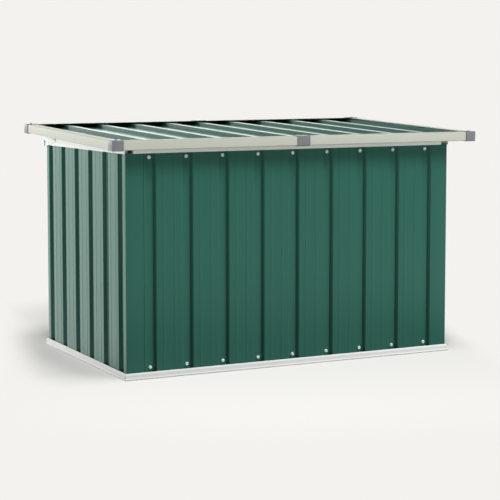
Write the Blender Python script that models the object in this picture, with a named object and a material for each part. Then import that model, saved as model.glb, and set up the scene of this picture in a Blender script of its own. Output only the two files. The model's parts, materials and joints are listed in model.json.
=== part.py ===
"""Steel storage box: corrugated sheets in channel rails, with a lid on side pivots and two gas struts.

Metres, +Z up. The origin lies on the floor under the middle of the lid, +X points to the right and +Y to
the back. Wall sides are numbered anticlockwise from the front: 0 front, 1 right, 2 back, 3 left.
"""

import math

import bmesh
import bpy
from mathutils import Vector

# Stock and clearances
FIT = 0.0003
TURNING_FIT = 0.0004
SHEET = 0.0006
RAIL_STOCK = 0.0010
LID_STOCK = 0.0012
PLATE_STOCK = 0.0020
CAP_WALL = 0.0012
BEND = 0.0020

# Corrugated sheet: wide flats with narrow grooves
PITCH = 0.105
FRONT_GROOVES = 9
SIDE_GROOVES = 6
FRONT_MARGIN = 0.070
SIDE_MARGIN = 0.0375
GROOVE_DEPTH = 0.0095
GROOVE_FLOOR = 0.0205
GROOVE_SLOPE = 0.0056
LAP_EDGE = 0.0026

# Walls
WALL_HEIGHT = 0.602
BASE_LIP = 0.018
BASE_FLANGE = 0.042
BASE_SHOULDER = 0.0035
BASE_HEM = 0.0030
BASE_HEM_REACH = 0.0020
TOP_LIP = 0.0145
TOP_FLANGE = 0.037
TOP_RAIL_SETBACK = 0.022
SIDE_LIP_FRONT = 0.015
SIDE_LIP_BACK = 0.021
SIDE_FLANGE = 0.030
POST_LONG_LEG = 0.040
POST_SHORT_LEG = 0.018
CORNER_NOTCH = 0.012

# Screws in the groove floors of the front and back
SCREW_RADIUS = 0.0020
SCREW_HEAD_RADIUS = 0.0050
SCREW_HEAD_HEIGHT = 0.0024
SCREW_HEAD_EDGE = 0.0010
SCREW_CROWN_RADIUS = 0.0030
SCREW_CROWN_STEP = 0.0004
SCREW_TIP = 0.0060
LOWER_SCREW_HEIGHT = 0.028
UPPER_SCREW_DROP = 0.025

# Lid
LID_SLOPE = math.radians(1.4)
FRONT_OVERHANG = 0.055
SIDE_OVERHANG = 0.055
BACK_OVERHANG = 0.028
LID_HEIGHT = 0.025
LID_FLANGE = 0.025
LID_SOLE = 0.020
LID_BEND = 0.0030
CREST_DROP = 0.0040
LID_SHEET_GAP = 0.0005
CAP_REACH = 0.030
CAP_ROUND = 0.0012
CAP_STUD_RADIUS = 0.0035
CAP_STUD_HEIGHT = 0.0016
SLEEVE_LENGTH = 0.038
LEFT_LAP_RIB = 4
RIGHT_LAP_RIB = 9
STIFFENER_WIDTH = 0.034
STIFFENER_FOOT = 0.010
STIFFENER_LEAN = 0.004
FRONT_STIFFENER_REACH = 0.190

# Lid pivots
HINGE_BEHIND = 0.010
HINGE_DROP = 0.016
HINGE_PLATE_REACH = 0.076
HINGE_PLATE_RISE = 0.014
HINGE_PLATE_END = 0.011
HINGE_PLATE_NOSE = 0.008
ARM_END = 0.009
ARM_FOOT = 0.030
HINGE_BOLT_RADIUS = 0.0040
HINGE_HEAD_RADIUS = 0.0090
HINGE_HEAD = 0.0032
HINGE_NUT_RADIUS = 0.0070
HINGE_NUT = 0.0060
LID_OPENING = math.radians(75)

# Gas struts
STRUT_RADIUS = 0.280
STRUT_INSET = 0.028
STRUT_LID_RISE = 0.010
TUBE_RADIUS = 0.0090
TUBE_WALL = 0.0015
TUBE_END = 0.008
ROD_RADIUS = 0.0040
ROD_SHOWN = 0.0407
PISTON_HEIGHT = 0.008
PISTON_REST = 0.0042
EYE_RADIUS = 0.0080
EYE_WIDTH = 0.0080
NECK_RADIUS = 0.0050
NECK_LENGTH = 0.020
PIN_RADIUS = 0.0030
PIN_COLLAR_RADIUS = 0.0055
PIN_CLIP = 0.0012
PIN_CLIP_RADIUS = 0.0045
MOUNT_HEIGHT = 0.036
LUG_END = 0.012
LUG_FOOT = 0.024

# Facets of round pieces, and the most of a straight run that one rounded corner may take
SCREW_SIDES = 8
BOLT_SIDES = 16
TUBE_SIDES = 16
NUT_SIDES = 6
ARC_STEPS = 8
FILLET_SHARE = 0.45
AXIS_MARK = 0.04

# Sizes that follow from the ones above
GROOVE_HALF = GROOVE_FLOOR / 2 + GROOVE_SLOPE
WALL_WIDTH = 2 * FRONT_MARGIN + (FRONT_GROOVES - 1) * PITCH
WALL_DEPTH = 2 * SIDE_MARGIN + (SIDE_GROOVES - 1) * PITCH
LID_WIDTH = WALL_WIDTH + 2 * SIDE_OVERHANG
LID_LENGTH = (WALL_DEPTH + FRONT_OVERHANG + BACK_OVERHANG) / math.cos(LID_SLOPE)
LID_FRONT_Y = -(LID_LENGTH * math.cos(LID_SLOPE) + LID_HEIGHT * math.sin(LID_SLOPE)) / 2
WALL_FRONT_Y = LID_FRONT_Y + FRONT_OVERHANG
WALL_BACK_Y = WALL_FRONT_Y + WALL_DEPTH
WALLS = (-WALL_WIDTH / 2, WALL_FRONT_Y, WALL_WIDTH / 2, WALL_BACK_Y)
LID = (-LID_WIDTH / 2, 0.0, LID_WIDTH / 2, LID_LENGTH)
RAIL_FLANGE_DEPTH = GROOVE_DEPTH + 2 * (SHEET + FIT)
REST_LEVEL = -(LID_HEIGHT - LID_STOCK - FIT)
PAN_LEVEL = -(CREST_DROP + GROOVE_DEPTH)
LID_FRONT_TOP = (
    WALL_HEIGHT + FIT - REST_LEVEL * math.cos(LID_SLOPE) - FRONT_OVERHANG * math.tan(LID_SLOPE)
)
HINGE_Y = WALL_BACK_Y + HINGE_BEHIND
HINGE_Z = WALL_HEIGHT - HINGE_DROP
STRUT_X = WALL_WIDTH / 2 - STRUT_INSET
GROOVE_COUNT = (FRONT_GROOVES, SIDE_GROOVES, FRONT_GROOVES, SIDE_GROOVES)
MARGIN = (FRONT_MARGIN, SIDE_MARGIN, FRONT_MARGIN, SIDE_MARGIN)
LAP_GROOVE = (0, 1, 0, 1)
CORNERS = ("front_left", "front_right", "back_right", "back_left")
WALL_NAMES = ("front", "right", "back", "left")

# Finishes as sRGB colour, roughness and metallic value
GREEN_PAINT = ((52, 98, 87), 0.38, 0.0)
PALE_RAIL = ((198, 205, 194), 0.42, 0.35)
WHITE_RAIL = ((222, 227, 224), 0.40, 0.30)
GREY_PLASTIC = ((118, 123, 127), 0.55, 0.0)
BRIGHT_ZINC = ((190, 195, 196), 0.30, 1.0)
STRUT_BLACK = ((28, 29, 31), 0.35, 0.0)
CHROME = ((205, 207, 210), 0.12, 1.0)


def clear_scene():
    for obj in list(bpy.data.objects):
        bpy.data.objects.remove(obj, do_unlink=True)


def linear(value):
    share = value / 255
    return share / 12.92 if share <= 0.04045 else ((share + 0.055) / 1.055) ** 2.4


def finish(name, look):
    colour, roughness, metallic = look
    material = bpy.data.materials.new(name + "_finish")
    material.use_nodes = True
    shader = material.node_tree.nodes["Principled BSDF"]
    shader.inputs["Base Color"].default_value = (*[linear(value) for value in colour], 1)
    shader.inputs["Roughness"].default_value = roughness
    shader.inputs["Metallic"].default_value = metallic
    material.diffuse_color = shader.inputs["Base Color"].default_value
    return material


def object_from(name, shape, look, pivot=None):
    """Turns a bmesh in world coordinates into an object whose origin is its pivot, or its own middle."""
    bmesh.ops.recalc_face_normals(shape, faces=shape.faces)
    lows = Vector([min(vert.co[axis] for vert in shape.verts) for axis in range(3)])
    highs = Vector([max(vert.co[axis] for vert in shape.verts) for axis in range(3)])
    home = pivot.location.copy() if pivot else (lows + highs) / 2
    bmesh.ops.translate(shape, verts=shape.verts, vec=-home)
    mesh = bpy.data.meshes.new(name)
    shape.to_mesh(mesh)
    shape.free()
    mesh.materials.append(finish(name, look))
    obj = bpy.data.objects.new(name, mesh)
    bpy.context.scene.collection.objects.link(obj)
    if pivot:
        obj.parent = pivot
    else:
        obj.location = home
    return obj


def empty_at(name, place):
    empty = bpy.data.objects.new(name, None)
    empty.location = place
    empty.empty_display_size = AXIS_MARK
    bpy.context.scene.collection.objects.link(empty)
    return empty


def loft_into(shape, rings):
    """Joins rings of points, each with as many points, into one closed body."""
    verts = [[shape.verts.new(point) for point in ring] for ring in rings]
    count = len(rings[0])
    for near, far in zip(verts, verts[1:]):
        for i in range(count):
            j = (i + 1) % count
            shape.faces.new((near[i], near[j], far[j], far[i]))
    shape.faces.new(verts[0])
    shape.faces.new(verts[-1])


def loft(name, rings, look, pivot=None):
    shape = bmesh.new()
    loft_into(shape, rings)
    return object_from(name, shape, look, pivot)


def turn_into(shape, outline, centre, axis, sides):
    """Turns (radius, height) points about an axis; the outline starts and ends on the axis, or closes."""
    along = Vector(axis).normalized()
    across = along.orthogonal().normalized()
    other = along.cross(across)
    rings = []
    for radius, height in outline:
        middle = Vector(centre) + along * height
        if radius == 0:
            rings.append([shape.verts.new(middle)] * sides)
            continue
        angles = [2 * math.pi * (i + 0.5) / sides for i in range(sides)]
        spokes = [across * math.cos(a) + other * math.sin(a) for a in angles]
        rings.append([shape.verts.new(middle + spoke * radius) for spoke in spokes])
    closes = outline[0][0] > 0
    for near, far in zip(rings, rings[1:] + rings[:1] if closes else rings[1:]):
        for i in range(sides):
            j = (i + 1) % sides
            corners = [near[i], near[j], far[j], far[i]]
            shape.faces.new(list(dict.fromkeys(corners)))


def turned(name, outline, centre, axis, sides, look, pivot=None):
    shape = bmesh.new()
    turn_into(shape, outline, centre, axis, sides)
    return object_from(name, shape, look, pivot)


def combine(target, tool, operation):
    """Adds or cuts a helper shape, which itself is neither drawn nor rendered."""
    modifier = target.modifiers.new(tool.name, "BOOLEAN")
    modifier.operation = operation
    modifier.solver = "EXACT"
    modifier.object = tool
    tool.hide_render = True
    tool.display_type = "WIRE"


def rounded(points, radius, steps):
    """Rounds the inner corners of an open line, by no more than the straight runs beside them allow."""
    result = [points[0]]
    for before, corner, after in zip(points, points[1:], points[2:]):
        back = before - corner
        ahead = after - corner
        turn = math.pi - back.angle(ahead)
        straight = min(back.length, ahead.length) * FILLET_SHARE
        reach = min(radius * math.tan(turn / 2), straight)
        start = corner + back.normalized() * reach
        end = corner + ahead.normalized() * reach
        for i in range(steps + 1):
            t = i / steps
            result.append(start * (1 - t) ** 2 + corner * (2 * t * (1 - t)) + end * t ** 2)
    result.append(points[-1])
    return result


def offset_line(points, distance):
    """Moves an open line to its left by a distance, with mitred corners."""
    runs = [(b - a).normalized() for a, b in zip(points, points[1:])]
    lefts = [Vector((-run.y, run.x)) for run in runs]
    result = []
    for i, point in enumerate(points):
        first = lefts[max(i - 1, 0)]
        second = lefts[min(i, len(lefts) - 1)]
        result.append(point + (first + second) * (distance / (1 + first.dot(second))))
    return result


def ribbon(points, near, far):
    """The closed outline between two offsets of one line."""
    return offset_line(points, near) + offset_line(points, far)[::-1]


def line(*points):
    return [Vector(point) for point in points]


def side_length(rect, side):
    return rect[2] - rect[0] if side % 2 == 0 else rect[3] - rect[1]


def edge_point(rect, side, along, inset):
    """A plan point that lies along one side of a rectangle, going anticlockwise, and inset from it."""
    left, front, right, back = rect
    return (
        (left + along, front + inset),
        (right - inset, front + along),
        (right - along, back - inset),
        (left + inset, back - along),
    )[side]


def groove_centres(side):
    return [MARGIN[side] + PITCH * i for i in range(GROOVE_COUNT[side])]


def corrugation(centres, start, stop):
    """(along, depth) points of the sheet's outer face from start to stop, which may lie in a groove floor."""
    points = []
    for centre in centres:
        floor = GROOVE_FLOOR / 2
        points += [(centre - GROOVE_HALF, 0), (centre - floor, GROOVE_DEPTH)]
        points += [(centre + floor, GROOVE_DEPTH), (centre + GROOVE_HALF, 0)]
    inside = [point for point in points if start < point[0] < stop]

    def depth_at(along):
        return GROOVE_DEPTH if any(abs(along - c) < GROOVE_FLOOR / 2 for c in centres) else 0

    return line((start, depth_at(start)), *inside, (stop, depth_at(stop)))


def wall_line(side, points):
    return line(*[edge_point(WALLS, side, along, depth) for along, depth in points])


def lap_centres(side):
    centres = groove_centres(side)
    first = LAP_GROOVE[side]
    return centres[first], centres[-1 - first]


def upright(name, outline, bottom, top, look):
    rings = [[(x, y, z) for x, y in outline] for z in (bottom, top)]
    return loft(name, rings, look)


def panel_top():
    return WALL_HEIGHT - RAIL_STOCK - FIT


def panel_bottom():
    return RAIL_STOCK + FIT


def corner_top():
    """The corner sheets and posts end lower than the main sheets, still behind the top rails' outer lips."""
    return panel_top() - CORNER_NOTCH


def screw_heights():
    return LOWER_SCREW_HEIGHT, WALL_HEIGHT - UPPER_SCREW_DROP


def drill(panel, side, centres):
    """Cuts the screw holes of a front or back panel."""
    outline = [
        (0, GROOVE_DEPTH - BEND),
        (SCREW_RADIUS + TURNING_FIT, GROOVE_DEPTH - BEND),
        (SCREW_RADIUS + TURNING_FIT, RAIL_FLANGE_DEPTH),
        (0, RAIL_FLANGE_DEPTH),
    ]
    shape = bmesh.new()
    for centre in centres:
        for height in screw_heights():
            outer = Vector((*edge_point(WALLS, side, centre, 0), height))
            inner = Vector((*edge_point(WALLS, side, centre, 1), height))
            turn_into(shape, outline, outer, inner - outer, SCREW_SIDES)
    combine(panel, object_from("cut_" + panel.name, shape, BRIGHT_ZINC), "DIFFERENCE")


def main_panel(side):
    """A wall's main sheet, which laps over both corner sheets."""
    first, last = lap_centres(side)
    reach = GROOVE_HALF + LAP_EDGE
    centres = groove_centres(side)
    profile = corrugation(centres, first - reach, last + reach)
    outline = ribbon(rounded(wall_line(side, profile), BEND, 1), 0, SHEET)
    name = WALL_NAMES[side] + "_panel"
    panel = upright(name, outline, panel_bottom(), panel_top(), GREEN_PAINT)
    if side % 2 == 0:
        drill(panel, side, centres)


def corner_panel(side):
    """The bent sheet at the corner where a side starts, set back behind the main sheets' laps."""
    previous = (side - 1) % 4
    lap_end = GROOVE_FLOOR / 2 - LAP_EDGE
    length = side_length(WALLS, previous)
    start = lap_centres(previous)[1] - lap_end
    stop = lap_centres(side)[0] + lap_end
    arriving = corrugation(groove_centres(previous), start, length)
    leaving = corrugation(groove_centres(side), 0, stop)
    plan = wall_line(previous, arriving) + wall_line(side, leaving[1:])
    near = SHEET + FIT
    outline = ribbon(rounded(plan, BEND, 1), near, near + SHEET)
    name = "corner_panel_" + CORNERS[side]
    panel = upright(name, outline, panel_bottom(), corner_top(), GREEN_PAINT)
    drilled = side if side % 2 == 0 else previous
    centre = lap_centres(drilled)[0 if side % 2 == 0 else 1]
    drill(panel, drilled, [centre])


def corner_post(side):
    """An angle inside a corner sheet, its long leg along the front or back."""
    previous = (side - 1) % 4
    legs = [POST_LONG_LEG, POST_SHORT_LEG] if side % 2 == 0 else [POST_SHORT_LEG, POST_LONG_LEG]
    length = side_length(WALLS, previous)
    plan = line(
        edge_point(WALLS, previous, length - legs[1], 0),
        edge_point(WALLS, side, 0, 0),
        edge_point(WALLS, side, legs[0], 0),
    )
    near = 2 * (SHEET + FIT)
    outline = ribbon(rounded(plan, BEND, 1), near, near + RAIL_STOCK)
    upright("corner_post_" + CORNERS[side], outline, panel_bottom(), corner_top(), BRIGHT_ZINC)


def rail_ring(rect, side, section, along_of):
    """Places (inset, height) points of a rail's section where along_of says for each inset."""
    return [(*edge_point(rect, side, along_of(inset), inset), z) for inset, z in section]


def screw_row(rail, side, height):
    """Screws driven through the panel into the rail's inner flange, with which they make one body."""
    head = GROOVE_DEPTH - FIT
    crown = head - SCREW_HEAD_HEIGHT
    end = RAIL_FLANGE_DEPTH + RAIL_STOCK
    outline = [
        (0, crown),
        (SCREW_CROWN_RADIUS, crown + SCREW_CROWN_STEP),
        (SCREW_HEAD_RADIUS, head - SCREW_HEAD_EDGE),
        (SCREW_HEAD_RADIUS, head),
        (SCREW_RADIUS, head),
        (SCREW_RADIUS, end + SCREW_TIP / 2),
        (0, end + SCREW_TIP),
    ]
    shape = bmesh.new()
    for centre in groove_centres(side):
        outer = Vector((*edge_point(WALLS, side, centre, 0), height))
        inner = Vector((*edge_point(WALLS, side, centre, 1), height))
        turn_into(shape, outline, outer, inner - outer, SCREW_SIDES)
    combine(rail, object_from("screws_" + rail.name, shape, BRIGHT_ZINC), "UNION")


def base_section():
    """The base rail's section: an outer lip that leans in at its top and steps out to a hem on the floor."""
    outside = FIT + RAIL_STOCK
    inside = RAIL_FLANGE_DEPTH + RAIL_STOCK
    face = outside + BASE_SHOULDER
    hem = face + BASE_HEM_REACH
    path = line(
        (-outside, BASE_LIP),
        (-face, BASE_LIP - BASE_SHOULDER),
        (-face, BASE_HEM + BASE_HEM_REACH),
        (-hem, BASE_HEM),
        (-hem, 0),
        (inside, 0),
        (inside, BASE_FLANGE),
    )
    return ribbon(rounded(path, BEND, 2), 0, RAIL_STOCK)


def base_rail(side):
    """A mitred channel on the floor: a low outer lip and a taller inner flange behind the groove floors."""
    section = base_section()
    length = side_length(WALLS, side)
    rings = [
        rail_ring(WALLS, side, section, lambda inset: inset + FIT),
        rail_ring(WALLS, side, section, lambda inset: length - inset - FIT),
    ]
    rail = loft("base_rail_" + WALL_NAMES[side], rings, WHITE_RAIL)
    if side % 2 == 0:
        screw_row(rail, side, LOWER_SCREW_HEIGHT)


def channel_section(top, lip, flange):
    """A channel open below: the outer lip and inner flange reach down by different lengths."""
    outside = FIT + RAIL_STOCK
    inside = RAIL_FLANGE_DEPTH + RAIL_STOCK
    path = line((inside, top - flange), (inside, top), (-outside, top), (-outside, top - lip))
    return ribbon(rounded(path, BEND, 2), 0, RAIL_STOCK)


def long_top_rail(side):
    """The front or back top rail, which stops short of the side rails."""
    section = channel_section(WALL_HEIGHT, TOP_LIP, TOP_FLANGE)
    length = side_length(WALLS, side)
    rings = [
        rail_ring(WALLS, side, section, lambda inset: TOP_RAIL_SETBACK),
        rail_ring(WALLS, side, section, lambda inset: length - TOP_RAIL_SETBACK),
    ]
    rail = loft("top_rail_" + WALL_NAMES[side], rings, WHITE_RAIL)
    screw_row(rail, side, screw_heights()[1])


def rest_height(y):
    """Height of the sloping line on which the closed lid's stiffeners come down."""
    return WALL_HEIGHT + (y - WALL_FRONT_Y) * math.tan(LID_SLOPE)


def side_top_rail(side):
    """A channel with mitred ends that grows taller to the back, so that its top follows the closed lid."""
    length = side_length(WALLS, side)
    rings = []
    for y, lip in ((WALL_FRONT_Y, SIDE_LIP_FRONT), (WALL_BACK_Y, SIDE_LIP_BACK)):
        top = rest_height(y)
        rise = top - WALL_HEIGHT
        section = channel_section(top, lip + rise, SIDE_FLANGE + rise)
        starts = (y == WALL_FRONT_Y) == (side == 1)
        ring = []
        for inset, z in section:
            along = inset + FIT if starts else length - inset - FIT
            place = edge_point(WALLS, side, along, inset)
            ring.append((*place, z + rest_height(place[1]) - top))
        rings.append(ring)
    loft("top_rail_" + WALL_NAMES[side], rings, WHITE_RAIL)


def lid_point(x, y, z):
    """From the lid's own frame, measured back from its front edge and up from its top face, to the world."""
    return Vector(
        (
            x,
            LID_FRONT_Y + y * math.cos(LID_SLOPE) - z * math.sin(LID_SLOPE),
            LID_FRONT_TOP + y * math.sin(LID_SLOPE) + z * math.cos(LID_SLOPE),
        )
    )


def lid_rings(rings):
    return [[lid_point(*point) for point in ring] for ring in rings]


def lid_path():
    """The lid rail's section, along the outside of its top flange, web and sole."""
    return line((LID_FLANGE, 0), (0, 0), (0, -LID_HEIGHT), (LID_SOLE, -LID_HEIGHT))


def lid_rail(name, side, starts, stops, lid):
    section = ribbon(rounded(lid_path(), LID_BEND, 3), 0, LID_STOCK)
    rings = [rail_ring(LID, side, section, starts), rail_ring(LID, side, section, stops)]
    loft(name, lid_rings(rings), PALE_RAIL, lid)


def lid_rails(lid):
    """Side rails in one piece, front and back rails in two halves that meet under a sleeve."""
    for side in range(4):
        length = side_length(LID, side)

        def near(inset):
            return inset + FIT

        def far(inset):
            return length - inset - FIT

        if side % 2:
            lid_rail("lid_rail_" + WALL_NAMES[side], side, near, far, lid)
            continue
        halves = ("left", "right") if side == 0 else ("right", "left")
        name = "lid_rail_" + WALL_NAMES[side] + "_"
        lid_rail(name + halves[0], side, near, lambda inset: length / 2 - FIT, lid)
        lid_rail(name + halves[1], side, lambda inset: length / 2 + FIT, far, lid)


def lid_sleeve(side, lid):
    """A plastic sleeve round the joint in the middle of the front or back rail."""
    section = ribbon(rounded(lid_path(), LID_BEND, 3), -(FIT + CAP_WALL), -FIT)
    middle = side_length(LID, side) / 2
    rings = [
        rail_ring(LID, side, section, lambda inset: middle - SLEEVE_LENGTH / 2),
        rail_ring(LID, side, section, lambda inset: middle + SLEEVE_LENGTH / 2),
    ]
    loft("lid_sleeve_" + WALL_NAMES[side], lid_rings(rings), GREY_PLASTIC, lid)


def lid_block(name, side, low, high, bottom, top, lid):
    """An upright block at the lid corner where a side starts."""
    corners = ((low, low), (high, low), (high, high), (low, high))
    plan = [edge_point(LID, side, along, inset) for along, inset in corners]
    rings = [[(x, y, z) for x, y in plan] for z in (bottom, top)]
    return loft(name, lid_rings(rings), GREY_PLASTIC, lid)


def lid_cap(side, lid):
    """A plastic corner cap: a softened block with a stud on top, hollowed from its two inner sides."""
    proud = FIT + CAP_WALL
    name = "lid_cap_" + CORNERS[side]
    cap = lid_block(name, side, -proud, CAP_REACH, -LID_HEIGHT - proud, proud, lid)
    bevel = cap.modifiers.new("softened_edges", "BEVEL")
    bevel.width = CAP_ROUND
    bevel.segments = 2
    middle = edge_point(LID, side, (CAP_REACH - proud) / 2, (CAP_REACH - proud) / 2)
    stud = [
        (0, 0),
        (CAP_STUD_RADIUS, 0),
        (CAP_STUD_RADIUS, proud + CAP_STUD_HEIGHT / 2),
        (CAP_STUD_RADIUS / 2, proud + CAP_STUD_HEIGHT),
        (0, proud + CAP_STUD_HEIGHT),
    ]
    foot = lid_point(*middle, 0)
    up = lid_point(*middle, 1) - foot
    combine(cap, turned("stud_" + name, stud, foot, up, SCREW_SIDES, GREY_PLASTIC, lid), "UNION")
    reach = CAP_REACH + CAP_WALL
    hollow = lid_block("hollow_" + name, side, -FIT, reach, -LID_HEIGHT - FIT, FIT, lid)
    combine(cap, hollow, "DIFFERENCE")


def rib_centre(number):
    """The lid's ribs line up with the front grooves, so the first rib stands over the first groove."""
    return -WALL_WIDTH / 2 + FRONT_MARGIN + PITCH * (number - 1)


def lid_sheet(name, start, stop, drop, lid):
    """A corrugated lid sheet with its narrow ribs up, from start to stop across the lid."""
    centres = [rib_centre(number) for number in range(0, FRONT_GROOVES + 2)]
    profile = corrugation(centres, start, stop)
    section = [Vector((x, PAN_LEVEL + depth)) for x, depth in profile]
    outline = ribbon(rounded(section, BEND, 1), -drop, -drop - SHEET)
    margin = LID_STOCK + LID_SHEET_GAP
    ends = (margin, LID_LENGTH - margin)
    rings = [[(x, y, z) for x, z in outline] for y in ends]
    loft(name, lid_rings(rings), GREEN_PAINT, lid)


def lid_sheets(lid):
    """The middle sheet laps over the other two, each of which ends on the crest of the lapped rib."""
    edge = LID_WIDTH / 2 - LID_STOCK - LID_SHEET_GAP
    reach = GROOVE_HALF + LAP_EDGE
    crest_end = GROOVE_FLOOR / 2 - LAP_EDGE
    left = rib_centre(LEFT_LAP_RIB)
    right = rib_centre(RIGHT_LAP_RIB)
    lid_sheet("lid_sheet_left", -edge, left + crest_end, SHEET + FIT, lid)
    lid_sheet("lid_sheet_middle", left - reach, right + reach, 0, lid)
    lid_sheet("lid_sheet_right", right - crest_end, edge, SHEET + FIT, lid)


def stiffener(name, middle, lid):
    """A hat section across the lid, under the sheets and on the soles of the side rails."""
    top = PAN_LEVEL - 2 * (SHEET + FIT)
    foot = REST_LEVEL + RAIL_STOCK
    half = STIFFENER_WIDTH / 2
    path = line(
        (middle - half - STIFFENER_FOOT, foot),
        (middle - half, foot),
        (middle - half + STIFFENER_LEAN, top),
        (middle + half - STIFFENER_LEAN, top),
        (middle + half, foot),
        (middle + half + STIFFENER_FOOT, foot),
    )
    outline = ribbon(rounded(path, BEND, 2), 0, -RAIL_STOCK)
    edge = LID_WIDTH / 2 - LID_BEND - LID_SHEET_GAP
    rings = [[(x, y, z) for y, z in outline] for x in (-edge, edge)]
    loft(name, lid_rings(rings), BRIGHT_ZINC, lid)


def tangent_outline(centre, radius, other, other_radius):
    """The outline round two circles and their common tangents, in (y, z)."""
    between = other - centre
    lean = math.acos((radius - other_radius) / between.length)
    heading = math.atan2(between.y, between.x)
    points = []
    for middle, size, start, stop in (
        (centre, radius, heading + lean, heading + 2 * math.pi - lean),
        (other, other_radius, heading - lean, heading + lean),
    ):
        for i in range(ARC_STEPS + 1):
            angle = start + (stop - start) * i / ARC_STEPS
            points.append(middle + Vector((math.cos(angle), math.sin(angle))) * size)
    return points


def plate(name, outline, near, far, look, pivot=None):
    """A flat plate in the plane of the side walls, from one x to another."""
    rings = [[(x, y, z) for y, z in outline] for x in (near, far)]
    return loft(name, rings, look, pivot)


def bore(target, name, centre, radius, reach):
    """Cuts a hole along X, that reaches as far on both sides of its centre."""
    outline = [(0, -reach), (radius, -reach), (radius, reach), (0, reach)]
    tool = turned(name, outline, centre, (1, 0, 0), BOLT_SIDES, BRIGHT_ZINC, target.parent)
    combine(target, tool, "DIFFERENCE")


def hinge_plate(name, hand):
    """The fixed plate on the side rail that carries the pivot behind the wall."""
    pivot = Vector((HINGE_Y, HINGE_Z))
    nose = Vector((WALL_BACK_Y - HINGE_PLATE_REACH, HINGE_Z + HINGE_PLATE_RISE))
    outline = tangent_outline(pivot, HINGE_PLATE_END, nose, HINGE_PLATE_NOSE)
    near = WALL_WIDTH / 2 + RAIL_STOCK + 2 * FIT
    part = plate(name, outline, hand * near, hand * (near + PLATE_STOCK), WHITE_RAIL)
    place = (hand * near, HINGE_Y, HINGE_Z)
    bore(part, "bore_" + name, place, HINGE_BOLT_RADIUS + FIT, 2 * PLATE_STOCK)


def lower_half(centre, radius):
    """The lower half of a circle in (y, z), from its front round to its back."""
    angles = [math.pi * (1 + i / ARC_STEPS) for i in range(ARC_STEPS + 1)]
    return [centre + Vector((math.cos(angle), math.sin(angle))) * radius for angle in angles]


def sloping_foot(name, ends, front, back, height_at, lid):
    """A plate between two x and two y, whose top face follows the lid's slope."""
    corners = [(ends[0], front), (ends[1], front), (ends[1], back), (ends[0], back)]
    rings = [[(x, y, height_at(y) - drop) for x, y in corners] for drop in (PLATE_STOCK, 0)]
    return loft(name, rings, BRIGHT_ZINC, lid)


def sole_height(y):
    """Height just under the closed lid's rail soles."""
    sole = lid_point(0, LID_LENGTH, -LID_HEIGHT - FIT)
    return sole.z + (y - sole.y) * math.tan(LID_SLOPE)


def hinge_arm(name, hand, lid):
    """The lid's bent arm: a foot under the back rail's sole and an eye on the pivot bolt."""
    outer = WALL_WIDTH / 2 + RAIL_STOCK + FIT
    front = HINGE_Y - ARM_END
    back = lid_point(0, LID_LENGTH, -LID_HEIGHT - FIT).y
    half = PLATE_STOCK / 2
    outline = lower_half(Vector((HINGE_Y, HINGE_Z)), ARM_END)
    outline += [
        (HINGE_Y + ARM_END, HINGE_Z + ARM_END),
        (back, sole_height(back) - PLATE_STOCK),
        (back, sole_height(back) - half),
        (front, sole_height(front) - half),
    ]
    arm = plate(name, outline, hand * outer, hand * (outer - PLATE_STOCK), BRIGHT_ZINC, lid)
    ends = (hand * outer, hand * (outer - ARM_FOOT))
    foot = sloping_foot("foot_" + name, ends, front, back, sole_height, lid)
    combine(arm, foot, "UNION")
    place = (hand * outer, HINGE_Y, HINGE_Z)
    bore(arm, "bore_" + name, place, HINGE_BOLT_RADIUS + TURNING_FIT, 2 * PLATE_STOCK)


def hinge_bolt(name, hand):
    """The pivot bolt with its round head outside and its shank through plate, arm and nut."""
    head = WALL_WIDTH / 2 + RAIL_STOCK + 3 * FIT + PLATE_STOCK
    end = WALL_WIDTH / 2 + RAIL_STOCK - PLATE_STOCK - HINGE_NUT - SCREW_HEAD_HEIGHT
    shank = head - end
    outline = [
        (0, -HINGE_HEAD),
        (HINGE_HEAD_RADIUS - CAP_ROUND, -HINGE_HEAD),
        (HINGE_HEAD_RADIUS, -HINGE_HEAD + CAP_ROUND),
        (HINGE_HEAD_RADIUS, 0),
        (HINGE_BOLT_RADIUS, 0),
        (HINGE_BOLT_RADIUS, shank),
        (0, shank),
    ]
    turned(name, outline, (hand * head, HINGE_Y, HINGE_Z), (-hand, 0, 0), BOLT_SIDES, BRIGHT_ZINC)


def hinge_nut(name, hand):
    """A six-sided nut inside the arm, round the bolt's shank."""
    outer = WALL_WIDTH / 2 + RAIL_STOCK - PLATE_STOCK
    pivot = Vector((HINGE_Y, HINGE_Z))
    turns = [2 * math.pi * i / NUT_SIDES for i in range(NUT_SIDES)]
    hexagon = [pivot + Vector((math.cos(turn), math.sin(turn))) * HINGE_NUT_RADIUS for turn in turns]
    nut = plate(name, hexagon, hand * outer, hand * (outer - HINGE_NUT), BRIGHT_ZINC)
    place = (hand * outer, HINGE_Y, HINGE_Z)
    bore(nut, "bore_" + name, place, HINGE_BOLT_RADIUS + FIT, 2 * HINGE_NUT)


def strut_places():
    """The strut's two pivots in (y, z), as far from the lid's axis as each other, with the lid closed."""
    axis = Vector((HINGE_Y, HINGE_Z))
    centres = groove_centres(3)
    middle = WALL_BACK_Y - (centres[0] + centres[1]) / 2
    down = math.acos((HINGE_Y - middle) / STRUT_RADIUS)
    up = math.asin(STRUT_LID_RISE / STRUT_RADIUS)
    lower = axis + STRUT_RADIUS * Vector((-math.cos(down), -math.sin(down)))
    upper = axis + STRUT_RADIUS * Vector((-math.cos(up), math.sin(up)))
    return lower, upper


def strut_lengths():
    """Pin to pin with the lid closed, pin to the tube's end, and pin to the rod's end."""
    lower, upper = strut_places()
    closed = (upper - lower).length
    return closed, closed - ROD_SHOWN, closed - NECK_LENGTH - TUBE_WALL - PISTON_REST


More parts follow.
